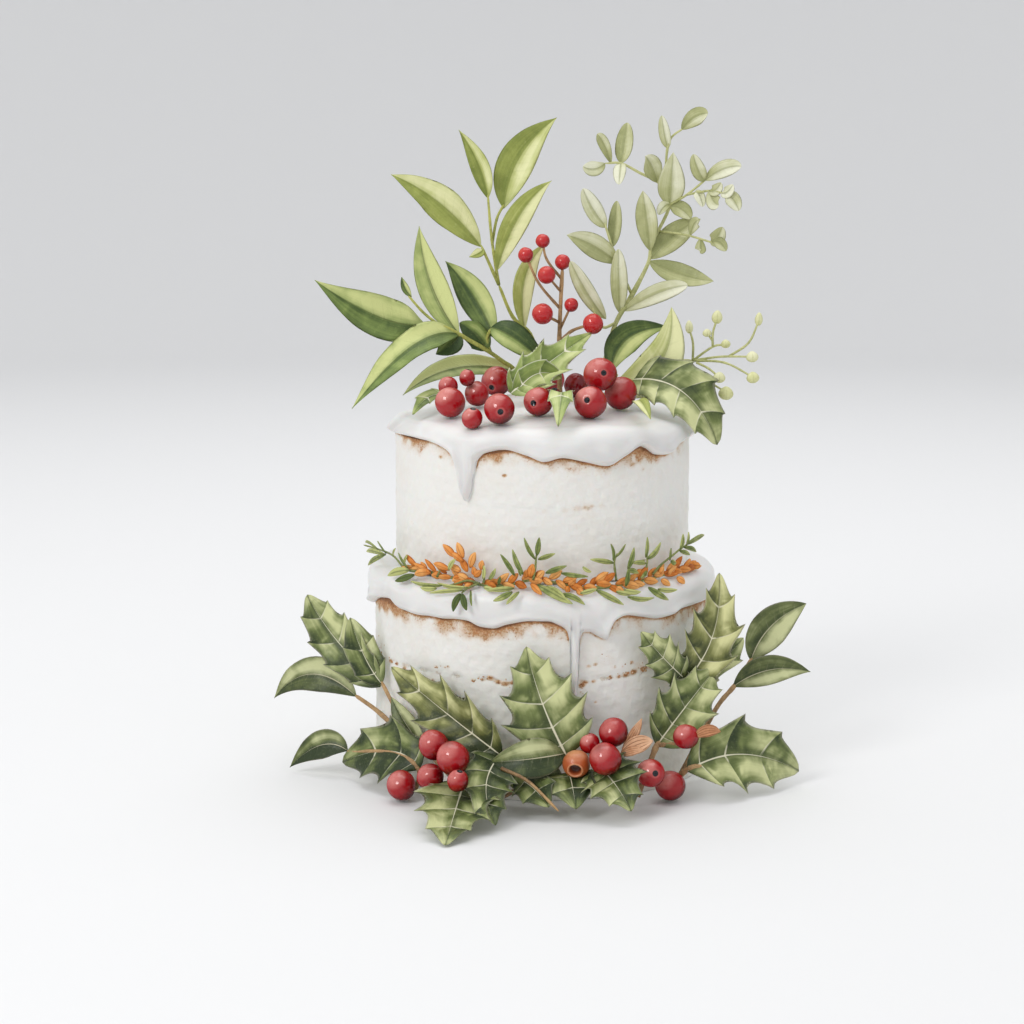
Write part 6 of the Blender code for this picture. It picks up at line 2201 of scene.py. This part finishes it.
    def buds(self, turned: float) -> list[Shell]:
        """Buds along the chain, alternately above and below it, and the ones that stand out.

        Args:
            turned: Angle to turn them by, round the cake.

        Returns:
            The buds.
        """
        line = curve(self.place(self.held(self.chain, turned), self.bed, turned), 12)
        run = np.concatenate([[0.0], np.cumsum(np.linalg.norm(np.diff(line, axis=0), axis=1))])
        root = self.place([(self.roots, 90)], self.bed, turned)[0]
        meet = run[np.linalg.norm(line - root, axis=1).argmin()]
        places = np.arange(2.0, run[-1] - 6.0, self.spacing)
        rng = random.Random(5)
        shells = []
        for number, at in enumerate(places):
            way = -1.0 if at < meet else 1.0
            ends = np.array([np.interp([at, at + 2 * way], run, line[:, k]) for k in range(3)]).T
            ahead = unit(ends[1] - ends[0])
            radial = unit(point(ends[0][0], ends[0][1], 0))
            if number % 2:
                rise = point(0, 0, 0.95) + radial * rng.uniform(-0.1, 0.5)
            else:
                rise = radial * rng.uniform(0.5, 0.9) - point(0, 0, rng.uniform(0.2, 0.6))
            heading = unit(ahead + rise * rng.uniform(0.25, 1.1))
            length = rng.uniform(5.5, 9.5)
            tone = (rng.random(), rng.uniform(-0.9, 0.8), 0.0)
            foot = ends[0] + point(0, 0, rng.uniform(0.2, 1.4))
            tip, width = foot + heading * length, rng.uniform(2.5, 3.9)
            shells.append(self.bud(foot, tip, width, number, tone))
        for number, (a, b, c, d, width) in enumerate(self.held(self.risers, turned)):
            foot, tip = self.place([(a, b), (c, d)], self.upright, turned)
            tone = (rng.random(), rng.uniform(-0.4, 0.7), 0.0)
            shells.append(self.bud(foot, tip, width, number + 3, tone))
        return shells

    def greens(self, turned: float) -> list[Shell]:
        """Needles: flat blades of half-width sin(pi t^0.85)^0.7, bent a little to one side.

        Args:
            turned: Angle to turn them by, round the cake.

        Returns:
            The needles.
        """
        rng = random.Random(9)
        t = np.linspace(0.02, 0.99, 10)
        profile = np.sin(math.pi * t**0.85) ** 0.7
        shells = []
        for a, b, c, d, width, tint in self.held(self.needles, turned):
            foot, tip = self.place([(a, b), (c, d)], self.spread, turned)
            radial = unit(point(*(foot + tip)[:2], 0))
            across = unit(np.cross(tip - foot, radial))
            length = np.linalg.norm(tip - foot)
            bend = rng.uniform(-0.08, 0.08) * length
            path = foot + (tip - foot) * t[:, None]
            path = path + np.outer(np.sin(math.pi * t), across * bend + radial * 0.05 * length)
            half = 0.44 * width * profile + 0.1
            hint = radial + across * rng.uniform(-0.5, 0.5)
            tone = (rng.random(), tint, 0.0)
            shells.append(swept(path, half, 0.16 * half + 0.22, hint, 10, tone))
        return shells

    def make(self) -> None:
        """Build the buds, needles and stems of the front and the back."""
        for side, turned, greens in (("front", 0.0, (1, 2)), ("back", math.pi, (3, 4))):
            piece(f"orange_buds_{side}", self.buds(turned), Finishes.ORANGE_BUD,
                  f"bud_garland_{side}")
            nodes = [f"rosemary_{number}" for number in greens]
            piece(f"needles_{side}", self.greens(turned), Finishes.NEEDLE, *nodes)
            stems = [twig(self.place(line, self.stalks, turned), 0.6, 0.4, number)
                     for number, line in enumerate(self.stems)
                     if not turned or abs(line[-1][0]) < self.back_reach]
            chain = self.held(self.chain, turned)
            stems.append(twig(self.place(chain[::2], self.bed, turned), 0.8, 0.6, 40))
            piece(f"garland_stems_{side}", stems, Finishes.GARLAND_STEM)


# Crumbs


@dataclass
class Crumbs:
    """Small toasted crumbs that cling to the joint of the lower tier.

    Args:
        count: How many there are.
        low: Radius of the smallest.
        high: Radius of the largest.
        marked: Share of them at the joint's dark marks.
        sunk: How deep their middles are in the side.
    """

    count: int = 260
    low: float = 0.28
    high: float = 0.75
    marked: float = 0.55
    sunk: float = 0.85

    def make(self, cake: Cake) -> None:
        """Build the crumbs: lumpy balls of 24 faces, half sunk in the side.

        Args:
            cake: The cake whose joint marks say where most of them are.
        """
        rng = np.random.default_rng(17)
        marks = np.array(cake.lower_marks_and_shade)
        turn, polar = full_turn(6), np.array([0.7, 1.5, 2.4])[:, None]
        ball = stacked(np.sin(polar) * np.cos(turn), np.sin(polar) * np.sin(turn), np.cos(polar))
        shells = []
        for _ in range(self.count):
            if rng.random() < self.marked:
                across, up, size, _ = marks[rng.integers(len(marks))]
                angle, height = wall_mark(across, up, LOWER_RADIUS)
                angle += rng.normal(0, 1.1 * size) / LOWER_RADIUS
                height += rng.normal(0, 0.7 * size)
            else:
                angle = rng.uniform(math.radians(70), math.radians(290))
                height = LOWER_JOINT + rng.normal(0, 1.1)
            centre = round_at(angle, LOWER_RADIUS - self.sunk, height)
            size = rng.uniform(self.low, self.high)
            reach = size * rng.uniform(0.7, 1.25, (3, 6, 1)) * point(1, 1, 0.8)
            pole = point(0, 0, size * 0.8)
            crust = np.broadcast_to([rng.uniform(0.3, 1.1), 1.0, 0.0], (3, 6, 3))
            shells.append(Shell(centre + ball * reach, centre + pole, centre - pole,
                                {"crust": crust}))
        piece("joint_crumbs", shells, Finishes.SPONGE)


# Studio


@dataclass
class Studio:
    """Pale round backdrop, soft lights, and a camera at the photograph's angle, in metres.

    Args:
        floor: Radius of the flat floor.
        bend: Radius of its bend up into the wall.
        wall: Height of the wall.
        rays: Corners of the backdrop round a full turn.
        aim: What the camera and the lights look at.
        lens: Focal length in millimetres.
        sky: Colour of the light from all round.
        glow: Strength of that light.
        lights: Name, place, side and watts of each square light.
    """

    floor: float = 2.4
    bend: float = 1.2
    wall: float = 1.7
    rays: int = 96
    aim: Triple = (-0.0154, 0.0, 0.1273)
    lens: float = 76.5
    sky: Colour = (0.97, 0.98, 1.0)
    glow: float = 0.76
    lights: Sequence[tuple[str, Triple, float, float]] = (
        ("key", (-1.25, -1.55, 1.35), 0.7, 15.5),
        ("fill", (1.5, -1.2, 0.8), 1.6, 0.4),
        ("above", (0.1, 0.5, 2.1), 1.8, 18.0))

    def backdrop(self) -> None:
        """Floor that bends up into a round wall by a quarter circle."""
        arc = np.linspace(0, math.pi / 2, 25)
        out = np.concatenate([np.linspace(0.05, self.floor, 12)[:-1],
                              self.floor + self.bend * np.sin(arc), [self.floor + self.bend]])
        up = np.concatenate([np.zeros(11), self.bend * (1 - np.cos(arc)), [self.wall]])
        turn, out = full_turn(self.rays)[None], out[:, None]
        rings = stacked(out * np.cos(turn), out * np.sin(turn), up[:, None] - 0.0002)
        grid = np.arange(len(out) * self.rays).reshape(-1, self.rays)
        beside = np.roll(grid, -1, axis=1)
        quads = np.stack([grid[:-1], grid[1:], beside[1:], beside[:-1]], -1).reshape(-1, 4)
        mesh = bpy.data.meshes.new("backdrop")
        faces = [*quads.tolist(), list(range(self.rays))]
        mesh.from_pydata(rings.reshape(-1, 3).tolist(), [], faces)
        mesh.shade_smooth()
        sheet = thing_of("backdrop", mesh)
        mesh.materials.append(Finishes.STAGE.value.material())

    def turn_to_cake(self, thing: bpy.types.Object) -> None:
        """Turn a lamp or the camera to what they all look at."""
        look = Vector(self.aim) - thing.location
        thing.rotation_euler = look.to_track_quat("-Z", "Y").to_euler()

    def light(self, name: str, place: Triple, size: float, power: float) -> None:
        """Add a square area light that looks at the cake.

        Args:
            name: Its name.
            place: Where it hangs.
            size: Its side.
            power: Its power in watts.
        """
        lamp = bpy.data.lights.new(name, "AREA")
        lamp.energy, lamp.size = power, size
        thing = thing_of(name, lamp)
        thing.location = place
        self.turn_to_cake(thing)

    def camera(self) -> None:
        """Add the camera, EYE_BACK in front of the cake's axis and EYE_UP above its foot."""
        lens = bpy.data.cameras.new("camera")
        lens.lens, lens.sensor_width = self.lens, 36.0
        lens.clip_start, lens.clip_end = 0.05, 20.0
        thing = thing_of("camera", lens)
        thing.location = (0.0, -EYE_BACK * MM, EYE_UP * MM)
        self.turn_to_cake(thing)
        bpy.context.scene.camera = thing

    def make(self) -> None:
        """Build the studio."""
        self.backdrop()
        for row in self.lights:
            self.light(*row)
        world = bpy.data.worlds.new("studio")
        world.use_nodes = True
        sky = world.node_tree.nodes["Background"]
        sky.inputs["Color"].default_value = (*self.sky, 1.0)
        sky.inputs["Strength"].default_value = self.glow
        bpy.context.scene.world = world
        bpy.context.scene.view_settings.view_transform = "Standard"
        self.camera()


def main() -> None:
    """Build the studio and every piece of the cake."""
    logging.basicConfig(level=logging.INFO, format="%(message)s")
    Studio().make()
    cake = Cake()
    cake.make()
    Crumbs().make(cake)
    Berries().make()
    TopGreens().make()
    FootGreens().make()
    Garland().make()


if __name__ == "__main__":
    main()
